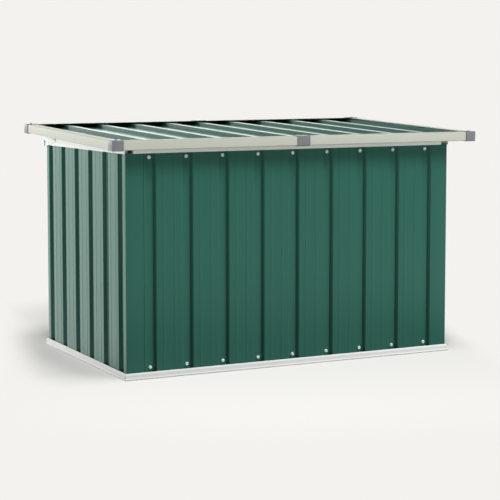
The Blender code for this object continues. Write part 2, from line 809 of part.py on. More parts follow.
def stud_outline(base, inner):
    """A pin from a plate through a strut's eye, with a collar before the eye and a clip behind it."""
    eye = inner - EYE_WIDTH
    return [
        (0, base),
        (PIN_COLLAR_RADIUS, base),
        (PIN_COLLAR_RADIUS, eye - FIT),
        (PIN_RADIUS, eye - FIT),
        (PIN_RADIUS, inner + FIT),
        (PIN_CLIP_RADIUS, inner + FIT),
        (PIN_CLIP_RADIUS, inner + FIT + PIN_CLIP),
        (0, inner + FIT + PIN_CLIP),
    ]


def strut_mount(name, hand):
    """The plate across two groove floors inside a side wall, with the pin of the strut's lower eye."""
    lower = strut_places()[0]
    centres = groove_centres(3)
    half = (centres[1] - centres[0]) / 2 + GROOVE_FLOOR / 2
    low = lower.y - MOUNT_HEIGHT / 2
    outline = [
        (lower.x - half, low),
        (lower.x + half, low),
        (lower.x + half, low + MOUNT_HEIGHT),
        (lower.x - half, low + MOUNT_HEIGHT),
    ]
    face = WALL_WIDTH / 2 - RAIL_FLANGE_DEPTH
    part = plate(name, outline, hand * face, hand * (face - PLATE_STOCK), BRIGHT_ZINC)
    reach = face - STRUT_X + EYE_WIDTH / 2
    outline = stud_outline(PLATE_STOCK / 2, reach)
    place = (hand * face, lower.x, lower.y)
    pin = turned("pin_" + name, outline, place, (-hand, 0, 0), BOLT_SIDES, BRIGHT_ZINC)
    combine(part, pin, "UNION")


def strut_lug(name, hand, lid):
    """The lid's bracket under the rear stiffener, with the pin of the strut's upper eye."""
    upper = strut_places()[1]
    face = STRUT_X - EYE_WIDTH / 2 - FIT - PIN_CLIP - FIT
    half = PLATE_STOCK / 2
    front = upper.x - LUG_END
    back = upper.x + LUG_END
    outline = lower_half(upper, LUG_END)
    outline += [(back, rest_height(back) - half), (front, rest_height(front) - half)]
    part = plate(name, outline, hand * face, hand * (face - PLATE_STOCK), BRIGHT_ZINC, lid)
    ends = (hand * face, hand * (face - LUG_FOOT))
    foot = sloping_foot("foot_" + name, ends, front, back, rest_height, lid)
    combine(part, foot, "UNION")
    reach = STRUT_X + EYE_WIDTH / 2 - face
    place = (hand * face, upper.x, upper.y)
    axis = (hand, 0, 0)
    outline = stud_outline(-half, reach)
    pin = turned("pin_" + name, outline, place, axis, BOLT_SIDES, BRIGHT_ZINC, lid)
    combine(part, pin, "UNION")


def strut_eye(name, centre, pivot):
    """The eye at a strut's end, as a ring along X."""
    half = EYE_WIDTH / 2
    hole = PIN_RADIUS + TURNING_FIT
    outline = [(hole, -half), (EYE_RADIUS, -half), (EYE_RADIUS, half), (hole, half)]
    return turned(name, outline, centre, (1, 0, 0), BOLT_SIDES, BRIGHT_ZINC, pivot)


def strut(hand, word, lid):
    """A tube that turns on the wall's pin and a rod that slides in it and turns on the lid's pin."""
    lower, upper = strut_places()
    low = Vector((hand * STRUT_X, lower.x, lower.y))
    high = Vector((hand * STRUT_X, upper.x, upper.y))
    tube_pivot = empty_at("strut_tube_axis_" + word, low)
    rod_pivot = empty_at("strut_rod_axis_" + word, high)
    tube_end, rod_end = strut_lengths()[1:]
    start = (EYE_RADIUS + PIN_RADIUS + TURNING_FIT) / 2
    inner = TUBE_RADIUS - TUBE_WALL
    guide = ROD_RADIUS + TURNING_FIT
    outline = [
        (0, start),
        (NECK_RADIUS, start),
        (NECK_RADIUS, NECK_LENGTH),
        (TUBE_RADIUS, NECK_LENGTH),
        (TUBE_RADIUS, tube_end),
        (guide, tube_end),
        (guide, tube_end - TUBE_END),
        (inner, tube_end - TUBE_END),
        (inner, NECK_LENGTH + TUBE_WALL),
        (0, NECK_LENGTH + TUBE_WALL),
    ]
    name = "strut_tube_" + word
    tube = turned(name, outline, low, high - low, TUBE_SIDES, STRUT_BLACK, tube_pivot)
    combine(tube, strut_eye("eye_" + name, low, tube_pivot), "UNION")
    piston = inner - TURNING_FIT
    outline = [
        (0, start),
        (ROD_RADIUS, start),
        (ROD_RADIUS, rod_end - PISTON_HEIGHT),
        (piston, rod_end - PISTON_HEIGHT),
        (piston, rod_end),
        (0, rod_end),
    ]
    name = "strut_rod_" + word
    rod = turned(name, outline, high, low - high, TUBE_SIDES, CHROME, rod_pivot)
    combine(rod, strut_eye("eye_" + name, high, rod_pivot), "UNION")
    rod_pivot.parent = lid
    rod_pivot.location = high - lid.location


def check_travel():
    """Prints the strut's closed and open lengths and how far the open piston stays below the guide."""
    closed, tube_end, rod_end = strut_lengths()
    half_angle = math.asin(closed / (2 * STRUT_RADIUS)) + LID_OPENING / 2
    opened = 2 * STRUT_RADIUS * math.sin(half_angle)
    print("strut closed", round(closed, 4), "open", round(opened, 4))
    spare = tube_end - TUBE_END - (opened - rod_end + PISTON_HEIGHT)
    print("piston below the guide with the lid open", round(spare, 4))


def main():
    clear_scene()
    for side in range(4):
        base_rail(side)
        corner_panel(side)
        corner_post(side)
        main_panel(side)
        if side % 2 == 0:
            long_top_rail(side)
        else:
            side_top_rail(side)
    lid = empty_at("lid_axis", (0, HINGE_Y, HINGE_Z))
    lid_rails(lid)
    lid_sheets(lid)
    stiffener("lid_stiffener_front", FRONT_STIFFENER_REACH, lid)
    rear = strut_places()[1].x - LID_FRONT_Y
    stiffener("lid_stiffener_rear", rear, lid)
    for side in range(4):
        lid_cap(side, lid)
        if side % 2 == 0:
            lid_sleeve(side, lid)
    for hand, word in ((-1, "left"), (1, "right")):
        hinge_plate("hinge_plate_" + word, hand)
        hinge_arm("hinge_arm_" + word, hand, lid)
        hinge_bolt("hinge_bolt_" + word, hand)
        hinge_nut("hinge_nut_" + word, hand)
        strut_mount("strut_mount_" + word, hand)
        strut_lug("strut_lug_" + word, hand, lid)
        strut(hand, word, lid)
    check_travel()


main()
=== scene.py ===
# %% [markdown]
# # A steel storage box
# This lesson dresses the bare solids of a garden storage box: corrugated sheet walls in channel
# rails, and a framed lid on two side pivots with gas struts. The solids come in ready placed, in
# metres, with +Z up and the long front facing -Y. We never move them. Each one either gets a finish
# of its own or is hidden behind a finer piece with the same size and place.

import json
import math

import bmesh
import bpy
from mathutils import Matrix, Vector

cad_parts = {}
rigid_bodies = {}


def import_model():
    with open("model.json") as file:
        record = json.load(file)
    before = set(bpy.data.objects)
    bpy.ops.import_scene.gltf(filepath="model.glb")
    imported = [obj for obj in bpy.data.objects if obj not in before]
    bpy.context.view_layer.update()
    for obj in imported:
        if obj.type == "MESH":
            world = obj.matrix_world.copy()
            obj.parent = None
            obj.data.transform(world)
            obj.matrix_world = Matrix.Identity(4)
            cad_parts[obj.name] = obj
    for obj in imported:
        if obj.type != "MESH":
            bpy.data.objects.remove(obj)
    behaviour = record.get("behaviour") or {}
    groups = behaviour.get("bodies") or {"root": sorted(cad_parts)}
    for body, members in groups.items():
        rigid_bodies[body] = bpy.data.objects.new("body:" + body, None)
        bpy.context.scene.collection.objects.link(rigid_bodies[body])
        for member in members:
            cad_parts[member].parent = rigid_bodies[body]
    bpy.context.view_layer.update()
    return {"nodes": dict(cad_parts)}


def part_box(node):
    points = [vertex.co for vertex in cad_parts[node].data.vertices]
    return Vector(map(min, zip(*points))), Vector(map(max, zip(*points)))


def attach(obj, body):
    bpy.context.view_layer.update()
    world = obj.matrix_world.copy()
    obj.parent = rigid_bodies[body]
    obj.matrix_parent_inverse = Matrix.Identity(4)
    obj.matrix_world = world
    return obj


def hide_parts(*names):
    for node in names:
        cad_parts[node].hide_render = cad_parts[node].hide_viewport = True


for startup in list(bpy.data.objects):
    bpy.data.objects.remove(startup, do_unlink=True)

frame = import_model()
nodes = frame["nodes"]

# %% [markdown]
# ## Sizes that the finer pieces share with the solids
# A finer piece must sit exactly where its solid sits, so we measure the solids where we can. The
# form of the rolled sheet isn't visible from a bounding box, so its pitch and groove are written
# here once.

# %% Sizes
FIT = 0.0003
SHEET = 0.0006
RAIL_STOCK = 0.0010
LID_STOCK = 0.0012
CAP_WALL = 0.0012
PLATE_STOCK = 0.0020

PITCH = 0.105
GROOVE_DEPTH = 0.0095
GROOVE_FLOOR = 0.0205
GROOVE_SLOPE = 0.0056
GROOVE_HALF = GROOVE_FLOOR / 2 + GROOVE_SLOPE
LAP_EDGE = 0.0026
LAP_REACH = GROOVE_HALF + LAP_EDGE
LAP_STUB = GROOVE_FLOOR / 2 - LAP_EDGE
FRONT_MARGIN = 0.070
SIDE_MARGIN = 0.0375
FRONT_GROOVES = 9
SIDE_GROOVES = 6

front_low, front_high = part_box("front_panel")
WALL_WIDTH = 2 * FRONT_MARGIN + (FRONT_GROOVES - 1) * PITCH
WALL_DEPTH = 2 * SIDE_MARGIN + (SIDE_GROOVES - 1) * PITCH
WALL_FRONT = front_low.y
WALL_BACK = WALL_FRONT + WALL_DEPTH
PANEL_BOTTOM = front_low.z
PANEL_TOP = front_high.z
WALL_HEIGHT = PANEL_TOP + RAIL_STOCK + FIT
WALLS = (-WALL_WIDTH / 2, WALL_FRONT, WALL_WIDTH / 2, WALL_BACK)
SIDES = ("front", "right", "back", "left")
CORNERS = ("front_left", "front_right", "back_right", "back_left")
HANDS = ((-1, "left"), (1, "right"))
GROOVE_COUNT = (FRONT_GROOVES, SIDE_GROOVES, FRONT_GROOVES, SIDE_GROOVES)
MARGIN = (FRONT_MARGIN, SIDE_MARGIN, FRONT_MARGIN, SIDE_MARGIN)
LAP_GROOVE = (0, 1, 0, 1)
print("walls:", round(WALL_WIDTH, 4), "by", round(WALL_DEPTH, 4), "by", round(WALL_HEIGHT, 4))

# %% [markdown]
# ## The camera
# The photograph was taken from the front left, a little above the lid, with a long lens. The
# numbers come from fitting a camera to the corners, grooves and screws of the walls. A small shift
# keeps the upright edges nearly parallel, and the rest of the framing is done by tilting the camera
# down.

# %% Camera
CAMERA_PLACE = (-2.0511, -4.1232, 0.8436)
CAMERA_TURN = math.radians(-26.563)
CAMERA_TILT = math.radians(90 - 5.175)
CAMERA_LENS = 116.6
CAMERA_SENSOR = 36
CAMERA_SHIFT = -0.10
CAMERA_NEAR = 0.05
CAMERA_FAR = 60


def add_object(name, data):
    thing = bpy.data.objects.new(name, data)
    bpy.context.scene.collection.objects.link(thing)
    return thing


camera_data = bpy.data.cameras.new("camera")
camera_data.sensor_width = CAMERA_SENSOR
camera_data.lens = CAMERA_LENS
camera_data.shift_y = CAMERA_SHIFT
camera_data.clip_start = CAMERA_NEAR
camera_data.clip_end = CAMERA_FAR
camera = add_object("camera", camera_data)
camera.location = CAMERA_PLACE
camera.rotation_euler = (CAMERA_TILT, 0, CAMERA_TURN)
bpy.context.scene.camera = camera
print("camera:", CAMERA_LENS, "mm")

# %% [markdown]
# ## Small helpers for node trees
# Every material and every Geometry Nodes tree below is built from the same steps: add a node, feed
# its sockets, and go on from its output. These helpers keep each step on one line.


# %% Node helpers
def linear(value):
    """One channel of a colour, 0 to 255, made linear by the curve of the sRGB standard."""
    share = value / 255
    return share / 12.92 if share <= 0.04045 else ((share + 0.055) / 1.055) ** 2.4


def colour(red, green, blue):
    return (linear(red), linear(green), linear(blue), 1)


def feed(tree, socket, value):
    """Links a socket to another socket or to a node's first output, or gives it a plain value."""
    if isinstance(value, bpy.types.Node):
        value = value.outputs[0]
    if isinstance(value, bpy.types.NodeSocket):
        tree.links.new(value, socket)
    else:
        socket.default_value = value


def feed_all(tree, node, values):
    for name, value in values.items():
        feed(tree, node.inputs[name], value)


def put(tree, kind, values=None, **settings):
    """Adds a node of the tree's own family, or one named in full, and fills it in."""
    if "Node" not in kind:
        kind = tree.bl_idname.removesuffix("Tree") + kind
    node = tree.nodes.new(kind)
    for name, value in settings.items():
        setattr(node, name, value)
    feed_all(tree, node, values or {})
    return node


def maths(tree, operation, *values):
    return put(tree, "ShaderNodeMath", dict(enumerate(values)), operation=operation)


def map_range(tree, value, low, high, start=0.0, end=1.0, kind="SMOOTHSTEP"):
    """Goes from start to end while the value goes from low to high."""
    values = {"Value": value, "From Min": low, "From Max": high, "To Min": start, "To Max": end}
    return put(tree, "MapRange", values, interpolation_type=kind)


def reach_toward(tree, place, direction):
    dot = put(tree, "VectorMath", {0: place, 1: direction}, operation="DOT_PRODUCT")
    return dot.outputs["Value"]


def mix_colours(tree, factor, first, second):
    """The mix node's colours are its sockets 6 and 7, and its output 2."""
    values = {"Factor": factor, 6: first, 7: second}
    return put(tree, "Mix", values, data_type="RGBA").outputs[2]


def socket_type(value):
    """The type of socket for a value; a word names the kind of data itself."""
    if isinstance(value, tuple):
        value = "Color" if len(value) == 4 else "Vector"
    if not isinstance(value, str):
        value = "Int" if isinstance(value, int) else "Float"
    return "NodeSocket" + value


def new_tree(name, inputs, outputs, kind="ShaderNodeTree"):
    """A node group, from each socket's value or kind of data."""
    tree = bpy.data.node_groups.new(name, kind)
    for in_out, sockets in (("INPUT", inputs), ("OUTPUT", outputs)):
        for label, value in sockets.items():
            word = socket_type(value)
            socket = tree.interface.new_socket(label, in_out=in_out, socket_type=word)
            if not isinstance(value, str):
                socket.default_value = value
    source = tree.nodes.new("NodeGroupInput")
    sink = tree.nodes.new("NodeGroupOutput")
    return tree, source.outputs, sink.inputs


# %% [markdown]
# ## Effects that several finishes share
# Painted sheet is never quite flat. Coil paint has a faint orange peel, the sheet itself bows by a
# few hundredths of a millimetre between its bends, and a box that has been handled carries a
# trace of dust. Each effect is one group, and each material places it with values of its own.

# %% Shader groups
UPWARD_FACES = (0.3, 1.0)
DUST_PATCHES = (0.42, 0.7)


def noise(tree, scale, detail):
    place = put(tree, "TexCoord").outputs["Object"]
    values = {"Vector": place, "Scale": scale, "Detail": detail}
    return put(tree, "TexNoise", values).outputs["Fac"]


def ripple_values(*values):
    return dict(zip(("Grain Scale", "Grain Height", "Bow Scale", "Bow Height"), values))


def ripple_group():
    """Height of a fine paint texture laid over the slow bowing of thin sheet."""
    sockets = ripple_values(900.0, 0.00001, 7.0, 0.0002)
    tree, given, result = new_tree("sheet_ripple", sockets, {"Height": "Float"})
    grain = noise(tree, given["Grain Scale"], detail=2.0)
    bow = noise(tree, given["Bow Scale"], detail=1.0)
    fine = maths(tree, "MULTIPLY", grain, given["Grain Height"])
    slow = maths(tree, "MULTIPLY", bow, given["Bow Height"])
    feed(tree, result["Height"], maths(tree, "ADD", fine, slow))
    return tree


def tone_group():
    """A colour that drifts slightly over the surface, and a roughness that drifts with it."""
    sockets = {"Colour": (0.5, 0.5, 0.5, 1.0), "Drift": 0.04, "Scale": 5.0}
    sockets.update({"Roughness": 0.4, "Roughness Drift": 0.05})
    outputs = {"Colour": "Color", "Roughness": "Float"}
    tree, given, result = new_tree("tone_drift", sockets, outputs)
    centred = maths(tree, "SUBTRACT", noise(tree, given["Scale"], detail=4.0), 0.5)
    bright = maths(tree, "MULTIPLY_ADD", centred, given["Drift"], 1.0)
    values = {0: given["Colour"], "Scale": bright}
    tinted = put(tree, "VectorMath", values, operation="SCALE")
    rough = maths(tree, "MULTIPLY_ADD", centred, given["Roughness Drift"], given["Roughness"])
    feed(tree, result["Colour"], tinted)
    feed(tree, result["Roughness"], rough)
    return tree


def dust_group():
    """A mask of fine dust that settles on faces that look up, in loose patches."""
    sockets = {"Amount": 0.1, "Scale": 18.0}
    tree, given, result = new_tree("settled_dust", sockets, {"Mask": "Float"})
    patches = noise(tree, given["Scale"], detail=6.0)
    normal = put(tree, "NewGeometry").outputs["Normal"]
    upward = put(tree, "SeparateXYZ", {0: normal}).outputs["Z"]
    level = map_range(tree, upward, *UPWARD_FACES, kind="LINEAR")
    loose = map_range(tree, patches, *DUST_PATCHES, kind="LINEAR")
    both = maths(tree, "MULTIPLY", level, loose)
    feed(tree, result["Mask"], maths(tree, "MULTIPLY", both, given["Amount"]))
    return tree


RIPPLE = ripple_group()
TONE = tone_group()
DUST = dust_group()
print("shader groups:", RIPPLE.name, TONE.name, DUST.name)

# %% [markdown]
# ## Finishes
# The walls and the lid are coil coated sheet: a deep green with a soft gloss, and a pale grey back
# coat. The rails are painted a pale grey. Caps and sleeves are moulded from grey plastic, and the
# hidden steel is zinc plated. One function makes them all from a colour, a roughness and the three
# shared effects.

# %% Finish maker
DUST_COLOUR = colour(168, 164, 152)


def spaced(sockets):
    """Keyword arguments as the names of sockets, which have spaces."""
    return {label.replace("_", " "): value for label, value in sockets.items()}


def new_material(name):
    material = bpy.data.materials.new(name)
    material.use_nodes = True
    return material, material.node_tree, material.node_tree.nodes["Principled BSDF"]


def finish(name, shade, roughness, ripple, metallic=0.0, drift=0.05, dust=0.0, **sockets):
    """A Principled material whose colour and roughness drift, with the ripple in its normal."""
    material, tree, shader = new_material(name)
    values = {"Colour": shade, "Drift": drift, "Roughness": roughness, "Roughness Drift": drift}
    tone = put(tree, "Group", values, node_tree=TONE)
    base = tone.outputs["Colour"]
    if dust:
        film = put(tree, "Group", {"Amount": dust}, node_tree=DUST)
        base = mix_colours(tree, film, base, DUST_COLOUR)
    surface = put(tree, "Group", ripple, node_tree=RIPPLE)
    bump = put(tree, "Bump", {"Height": surface, "Strength": 1.0, "Distance": 1.0})
    values = {
        "Base Color": base,
        "Roughness": tone.outputs["Roughness"],
        "Metallic": metallic,
        "Normal": bump,
        **spaced(sockets),
    }
    feed_all(tree, shader, values)
    material.diffuse_color = shade
    return material


FLAT_PAINT = ripple_values(1100.0, 0.0000002, 4.0, 0.0001)
ROLLED_STEEL = ripple_values(700.0, 0.000004, 16.0, 0.00008)
MOULDED = ripple_values(1500.0, 0.00002, 40.0, 0.00004)
PEARL_TINT = colour(196, 255, 250)
PEARL = {
    "Sheen_Weight": 0.3,
    "Sheen_Roughness": 0.3,
    "Sheen_Tint": PEARL_TINT,
    "Specular_Tint": PEARL_TINT,
}

green_coat = finish(
    "green_coil_coat", colour(46, 98, 85), 0.24, FLAT_PAINT, dust=0.04, **PEARL
)
back_coat = finish("grey_back_coat", colour(156, 160, 156), 0.5, FLAT_PAINT)
white_paint = finish("white_rail_paint", colour(240, 243, 241), 0.4, ROLLED_STEEL, dust=0.04)
pale_paint = finish("pale_rail_paint", colour(189, 194, 181), 0.38, ROLLED_STEEL, dust=0.03)
grey_plastic = finish("grey_moulded_plastic", colour(120, 125, 127), 0.26, MOULDED, dust=0.05)
bright_zinc = finish("bright_zinc_plate", colour(205, 208, 208), 0.42, ROLLED_STEEL, metallic=0.6)
pale_zinc = finish("pale_zinc_plate", colour(232, 250, 249), 0.3, ROLLED_STEEL, drift=0.02)
# Painted shade: this near-black finish darkens the inner web of the back lid rail in place of the
# shadow under its flange. It also colours the small dark rivets on the hinge plates.
dark_rivet_and_painted_shade = finish("dark_rivets_and_painted_shade", colour(20, 22, 21), 0.8, MOULDED)
black_paint = finish("black_strut_paint", colour(26, 27, 29), 0.3, ROLLED_STEEL)
chrome = finish(
    "polished_rod", colour(214, 215, 217), 0.1, ROLLED_STEEL, metallic=1.0, drift=0.02
)

# %% Give every solid its finish
FINISH_OF = (
    (("base_rail", "top_rail", "hinge_plate"), white_paint),
    (("lid_rail",), pale_paint),
    (("lid_cap", "lid_sleeve"), grey_plastic),
    (("strut_tube",), black_paint),
    (("strut_rod",), chrome),
    (("corner_panel", "lid_sheet", *(word + "_panel" for word in SIDES)), green_coat),
)

for name, solid in nodes.items():
    chosen = bright_zinc
    for starts, material in FINISH_OF:
        if name.startswith(starts):
            chosen = material
    solid.data.materials.clear()
    solid.data.materials.append(chosen)
print("finishes:", [material.name for material in bpy.data.materials])

# %% [markdown]
# ## One tree for everything bent from sheet
# On the real box nearly every part is a strip of sheet with bends across it: the corrugated walls,
# the corner sheets, the rails, even the stiffeners. So one Geometry Nodes tree makes them all. It
# is given the section as a plain zigzag of edges. It repeats the zigzag along X, rounds each bend,
# gives the line a thickness to its left, and stretches it along Z between two ends that may be cut
# at a slope, for mitres.

# %% The bent sheet tree
JOIN_WITHIN = 0.00001


def geometry_tree(name, inputs):
    inputs = {**inputs, "Material": "Material"}
    return new_tree(name, inputs, {"Geometry": "Geometry"}, "GeometryNodeTree")


def repeated(tree, geometry, given, count):
    """A row of copies along X, one pitch apart."""
    step = put(tree, "ShaderNodeCombineXYZ", {"X": given["Pitch"]})
    row = put(tree, "MeshLine", {"Count": given[count], "Offset": step})
    return put(tree, "InstanceOnPoints", {"Points": row, "Instance": geometry})


def hand_out(tree, geometry, given, result):
    """Gives the geometry its material and ends the tree."""
    real = put(tree, "RealizeInstances", {0: geometry})
    painted = put(tree, "SetMaterial", {0: real, "Material": given["Material"]})
    feed(tree, result["Geometry"], painted)
    return tree


def bent_sheet_tree():
    row = {"Section": "Geometry", "Repeats": 1, "Pitch": 0.1, "Cut": 10.0}
    bends = {"Bend Radius": 0.002, "Bend Steps": 5, "Offset": 0.0, "Thickness": 0.001}
    ends = {"Start": 0.0, "Start Slope": 0.0, "End": 1.0, "End Slope": 0.0}
    tree, given, result = geometry_tree("bent_sheet", {**row, **bends, **ends})
    copies = repeated(tree, given["Section"], given, "Repeats")
    loose = put(tree, "RealizeInstances", {0: copies})
    whole = put(tree, "MergeByDistance", {0: loose, "Distance": JOIN_WITHIN})
    place = put(tree, "InputPosition")
    parts = put(tree, "ShaderNodeSeparateXYZ", {0: place}).outputs
    beyond = maths(tree, "GREATER_THAN", parts["X"], given["Cut"])
    kept = put(tree, "DeleteGeometry", {0: whole, "Selection": beyond})
    path = put(tree, "MeshToCurve", {0: kept})
    upright = put(tree, "SetCurveNormal", {0: path}, mode="Z_UP")
    bends = {"Count": given["Bend Steps"], "Radius": given["Bend Radius"], "Limit Radius": True}
    rounded = put(tree, "FilletCurve", {0: upright, **bends}, mode="POLY")
    near = maths(tree, "MULTIPLY", given["Offset"], -1.0)
    far = maths(tree, "SUBTRACT", near, given["Thickness"])
    corners = {}
    for across, along in ((near, 0.0), (far, 0.0), (far, -1.0), (near, -1.0)):
        corner = put(tree, "ShaderNodeCombineXYZ", {"X": across, "Y": along})
        corners[f"Point {len(corners) + 1}"] = corner
    strip = put(tree, "CurvePrimitiveQuadrilateral", corners, mode="POINTS")
    sweep = {"Curve": rounded, "Profile Curve": strip, "Fill Caps": True}
    swept = put(tree, "CurveToMesh", sweep)
    start = maths(tree, "MULTIPLY_ADD", parts["X"], given["Start Slope"], given["Start"])
    end = maths(tree, "MULTIPLY_ADD", parts["X"], given["End Slope"], given["End"])
    level = maths(tree, "MULTIPLY_ADD", maths(tree, "SUBTRACT", end, start), parts["Z"], start)
    moved = put(tree, "ShaderNodeCombineXYZ", {"X": parts["X"], "Y": parts["Y"], "Z": level})
    stretched = put(tree, "SetPosition", {0: swept, "Position": moved})
    return hand_out(tree, stretched, given, result)


BENT_SHEET = bent_sheet_tree()
print("tree:", BENT_SHEET.name, "with", len(BENT_SHEET.nodes), "nodes")

# %% [markdown]
# ## From a tree to a plain mesh
# The finished piece must be an ordinary mesh that lies in its final place, with its object at the
# origin. So we hang the tree on a helper object as a modifier, set its inputs by their identifiers,
# read the evaluated result, move the mesh itself into place, and throw the helper away.

# %% Grow a piece
SMOOTH_BELOW = math.radians(28)
SEAM_WITHIN = 0.000005


def grow(name, tree, section, values, place=None):
    """Runs a tree on a wire of (x, y) points, or on a mesh, and returns a plain object."""
    mesh = section
    if not isinstance(section, bpy.types.Mesh):
        mesh = bpy.data.meshes.new(name + "_section")
        edges = [(i, i + 1) for i in range(len(section) - 1)]
        mesh.from_pydata([(x, y, 0) for x, y in section], edges, [])
    helper = add_object(name + "_helper", mesh)
    modifier = helper.modifiers.new("grow", "NODES")
    modifier.node_group = tree
    for item in tree.interface.items_tree:
        if item.in_out == "INPUT" and item.name in values:
            modifier[item.identifier] = values[item.name]
    graph = bpy.context.evaluated_depsgraph_get()
    result = bpy.data.meshes.new_from_object(helper.evaluated_get(graph), depsgraph=graph)
    helper.modifiers.clear()
    bpy.data.objects.remove(helper, do_unlink=True)
    if place:
        result.transform(place)
    return settle(name, result)


def settle(name, mesh):
    """Closes a mesh's seams, turns its faces outwards and smooths its bends."""
    shape = bmesh.new()
    shape.from_mesh(mesh)
    bmesh.ops.remove_doubles(shape, verts=shape.verts, dist=SEAM_WITHIN)
    bmesh.ops.recalc_face_normals(shape, faces=shape.faces)
    shape.to_mesh(mesh)
    shape.free()
    mesh.shade_smooth()
    mesh.set_sharp_from_angle(angle=SMOOTH_BELOW)
    mesh.name = name
    return add_object(name, mesh)


def bend(name, section, material, start, end, place=None, **sockets):
    """A strip of sheet with one section from start to end."""
    values = {"Material": material, "Start": start, "End": end, **spaced(sockets)}
    return grow(name, BENT_SHEET, section, values, place)


def seat(piece, body, slot, *stands_for):
    """Joins a finished piece to its body and hides the solids that it stands for."""
    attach(piece, body)
    if stands_for:
        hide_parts(*stands_for)
    print(piece.name, "has", len(piece.data.polygons), "faces")


# %% [markdown]
# ## Frames for the four sides
# Walls, rails and lid are drawn once and used on four sides. So each side of a rectangle has a
# frame of its own, and a section that runs along that side has another.

# %% Side frames
LENGTHWISE = Matrix(((0, 0, 1, 0), (1, 0, 0, 0), (0, 1, 0, 0), (0, 0, 0, 1)))


def side_frame(rect, side):
    """The matrix from a side's frame (X along, Y inwards, Z up) to the world."""
    left, front, right, back = rect
    corner = ((left, front), (right, front), (right, back), (left, back))[side]
    return Matrix.Translation((*corner, 0)) @ Matrix.Rotation(side * math.pi / 2, 4, "Z")


def rail_frame(rect, side):
    """The matrix from a section's frame (X inwards, Y up, Z along the side) to the world."""
    return side_frame(rect, side) @ LENGTHWISE


def side_length(rect, side):
    return rect[2] - rect[0] if side % 2 == 0 else rect[3] - rect[1]


WALL_FRAME = [side_frame(WALLS, side) for side in range(4)]
INWARD = [place.col[1].xyz for place in WALL_FRAME]

# %% [markdown]
# ## The corrugated walls
# The sheet is rolled with wide flats and narrow grooves at a fixed pitch, and each flat is
# stiffened by two shallow pencil beads. One pitch of that profile is drawn as a zigzag, and the
# tree repeats it along the wall.

# %% Sheet profile
BEAD_PLACE = 0.016
BEAD_HALF = 0.0028
BEAD_HEIGHT = 0.0005
ROLLED_SHEET = {"Bend_Radius": 0.0024, "Thickness": SHEET}
FACING = 0.05


def both_ways(centre, half):
    """A symmetrical piece of a section, from the points of its first half."""
    return [(centre - x, y) for x, y in half] + [(centre + x, y) for x, y in half[::-1]]


def bead(centre, level, up):
    """A shallow pencil bead that stands out of a flat."""
    return both_ways(centre, [(BEAD_HALF, level), (BEAD_HALF / 3, level + up * BEAD_HEIGHT)])


def beads_after(centre, level=0.0, up=-1.0):
    """The two beads of the flat that follows a groove or a rib."""
    middle = centre + PITCH / 2
    return bead(middle - BEAD_PLACE, level, up) + bead(middle + BEAD_PLACE, level, up)


def groove(centre, level=0.0):
    return both_ways(centre, [(GROOVE_HALF, level), (GROOVE_FLOOR / 2, level + GROOVE_DEPTH)])


def lap_centres(side):
    """The places along a wall of the first and last groove in which two sheets lap."""
    first = MARGIN[side] + PITCH * LAP_GROOVE[side]
    last = MARGIN[side] + PITCH * (GROOVE_COUNT[side] - 1 - LAP_GROOVE[side])
    return first, last


# %% Main sheets
def paint_back(piece, material, facing):
    """Gives some faces a second material; facing tells which, from a face's centre and normal."""
    piece.data.materials.append(material)
    for face in piece.data.polygons:
        if facing(face.center, face.normal):
            face.material_index = 1


for side in range(4):
    first, last = lap_centres(side)
    section = [(first - LAP_REACH, 0.0), *groove(first), (first + LAP_REACH, 0.0)]
    section += [*beads_after(first), (first + PITCH - LAP_REACH, 0.0)]
    row = {"Repeats": round((last - first) / PITCH) + 1, "Pitch": PITCH}
    row["Cut"] = last + LAP_REACH + BEAD_HALF
    name = SIDES[side] + "_sheet"
    span = (PANEL_BOTTOM, PANEL_TOP)
    piece = bend(name, section, green_coat, *span, WALL_FRAME[side], **row, **ROLLED_SHEET)
    paint_back(piece, back_coat, lambda centre, normal: normal.dot(INWARD[side]) > FACING)
    seat(piece, "box", "green_sheet", SIDES[side] + "_panel")

# %% [markdown]
# ## Corner sheets and posts
# Each corner is one sheet bent round the angle of the box. It carries the outermost grooves and
# tucks in behind the main sheets' laps. The same tree bends it: the section is drawn straight in
# plan, so it already lies in its place. An angle of zinc plated steel stands inside each corner.

# %% Corner sheets
POST_LEGS = (0.040, 0.018)
STEP_BACK = SHEET + FIT
CORNER_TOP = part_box("corner_panel_front_left")[1].z


def plan_points(side, points):
    """Points of a wall's own frame as (x, y) in the world."""
    place = WALL_FRAME[side]
    return [tuple((place @ Vector((along, inward, 0))).xy) for along, inward in points]


def looks_in(centre, normal):
    """True where a face of a corner sheet looks into the box, away from the nearest wall."""
    left, front, right, back = WALLS
    depths = (centre.y - front, right - centre.x, back - centre.y, centre.x - left)
    return normal.dot(INWARD[depths.index(min(depths))]) > FACING


def corner_section(side):
    """The corner sheet's line, from behind one wall's lap to behind the next wall's."""
    previous = (side - 1) % 4
    last = lap_centres(previous)[1]
    arriving = [(last - LAP_STUB, GROOVE_DEPTH), *groove(last)[2:]]
    if previous % 2:
        arriving += beads_after(last) + groove(last + PITCH)
    arriving.append((side_length(WALLS, previous), 0.0))
    first = lap_centres(side)[0]
    leaving = [*groove(first)[:2], (first + LAP_STUB, GROOVE_DEPTH)]
    if side % 2:
        leaving = groove(first - PITCH) + beads_after(first - PITCH) + leaving
    return plan_points(previous, arriving) + plan_points(side, leaving)


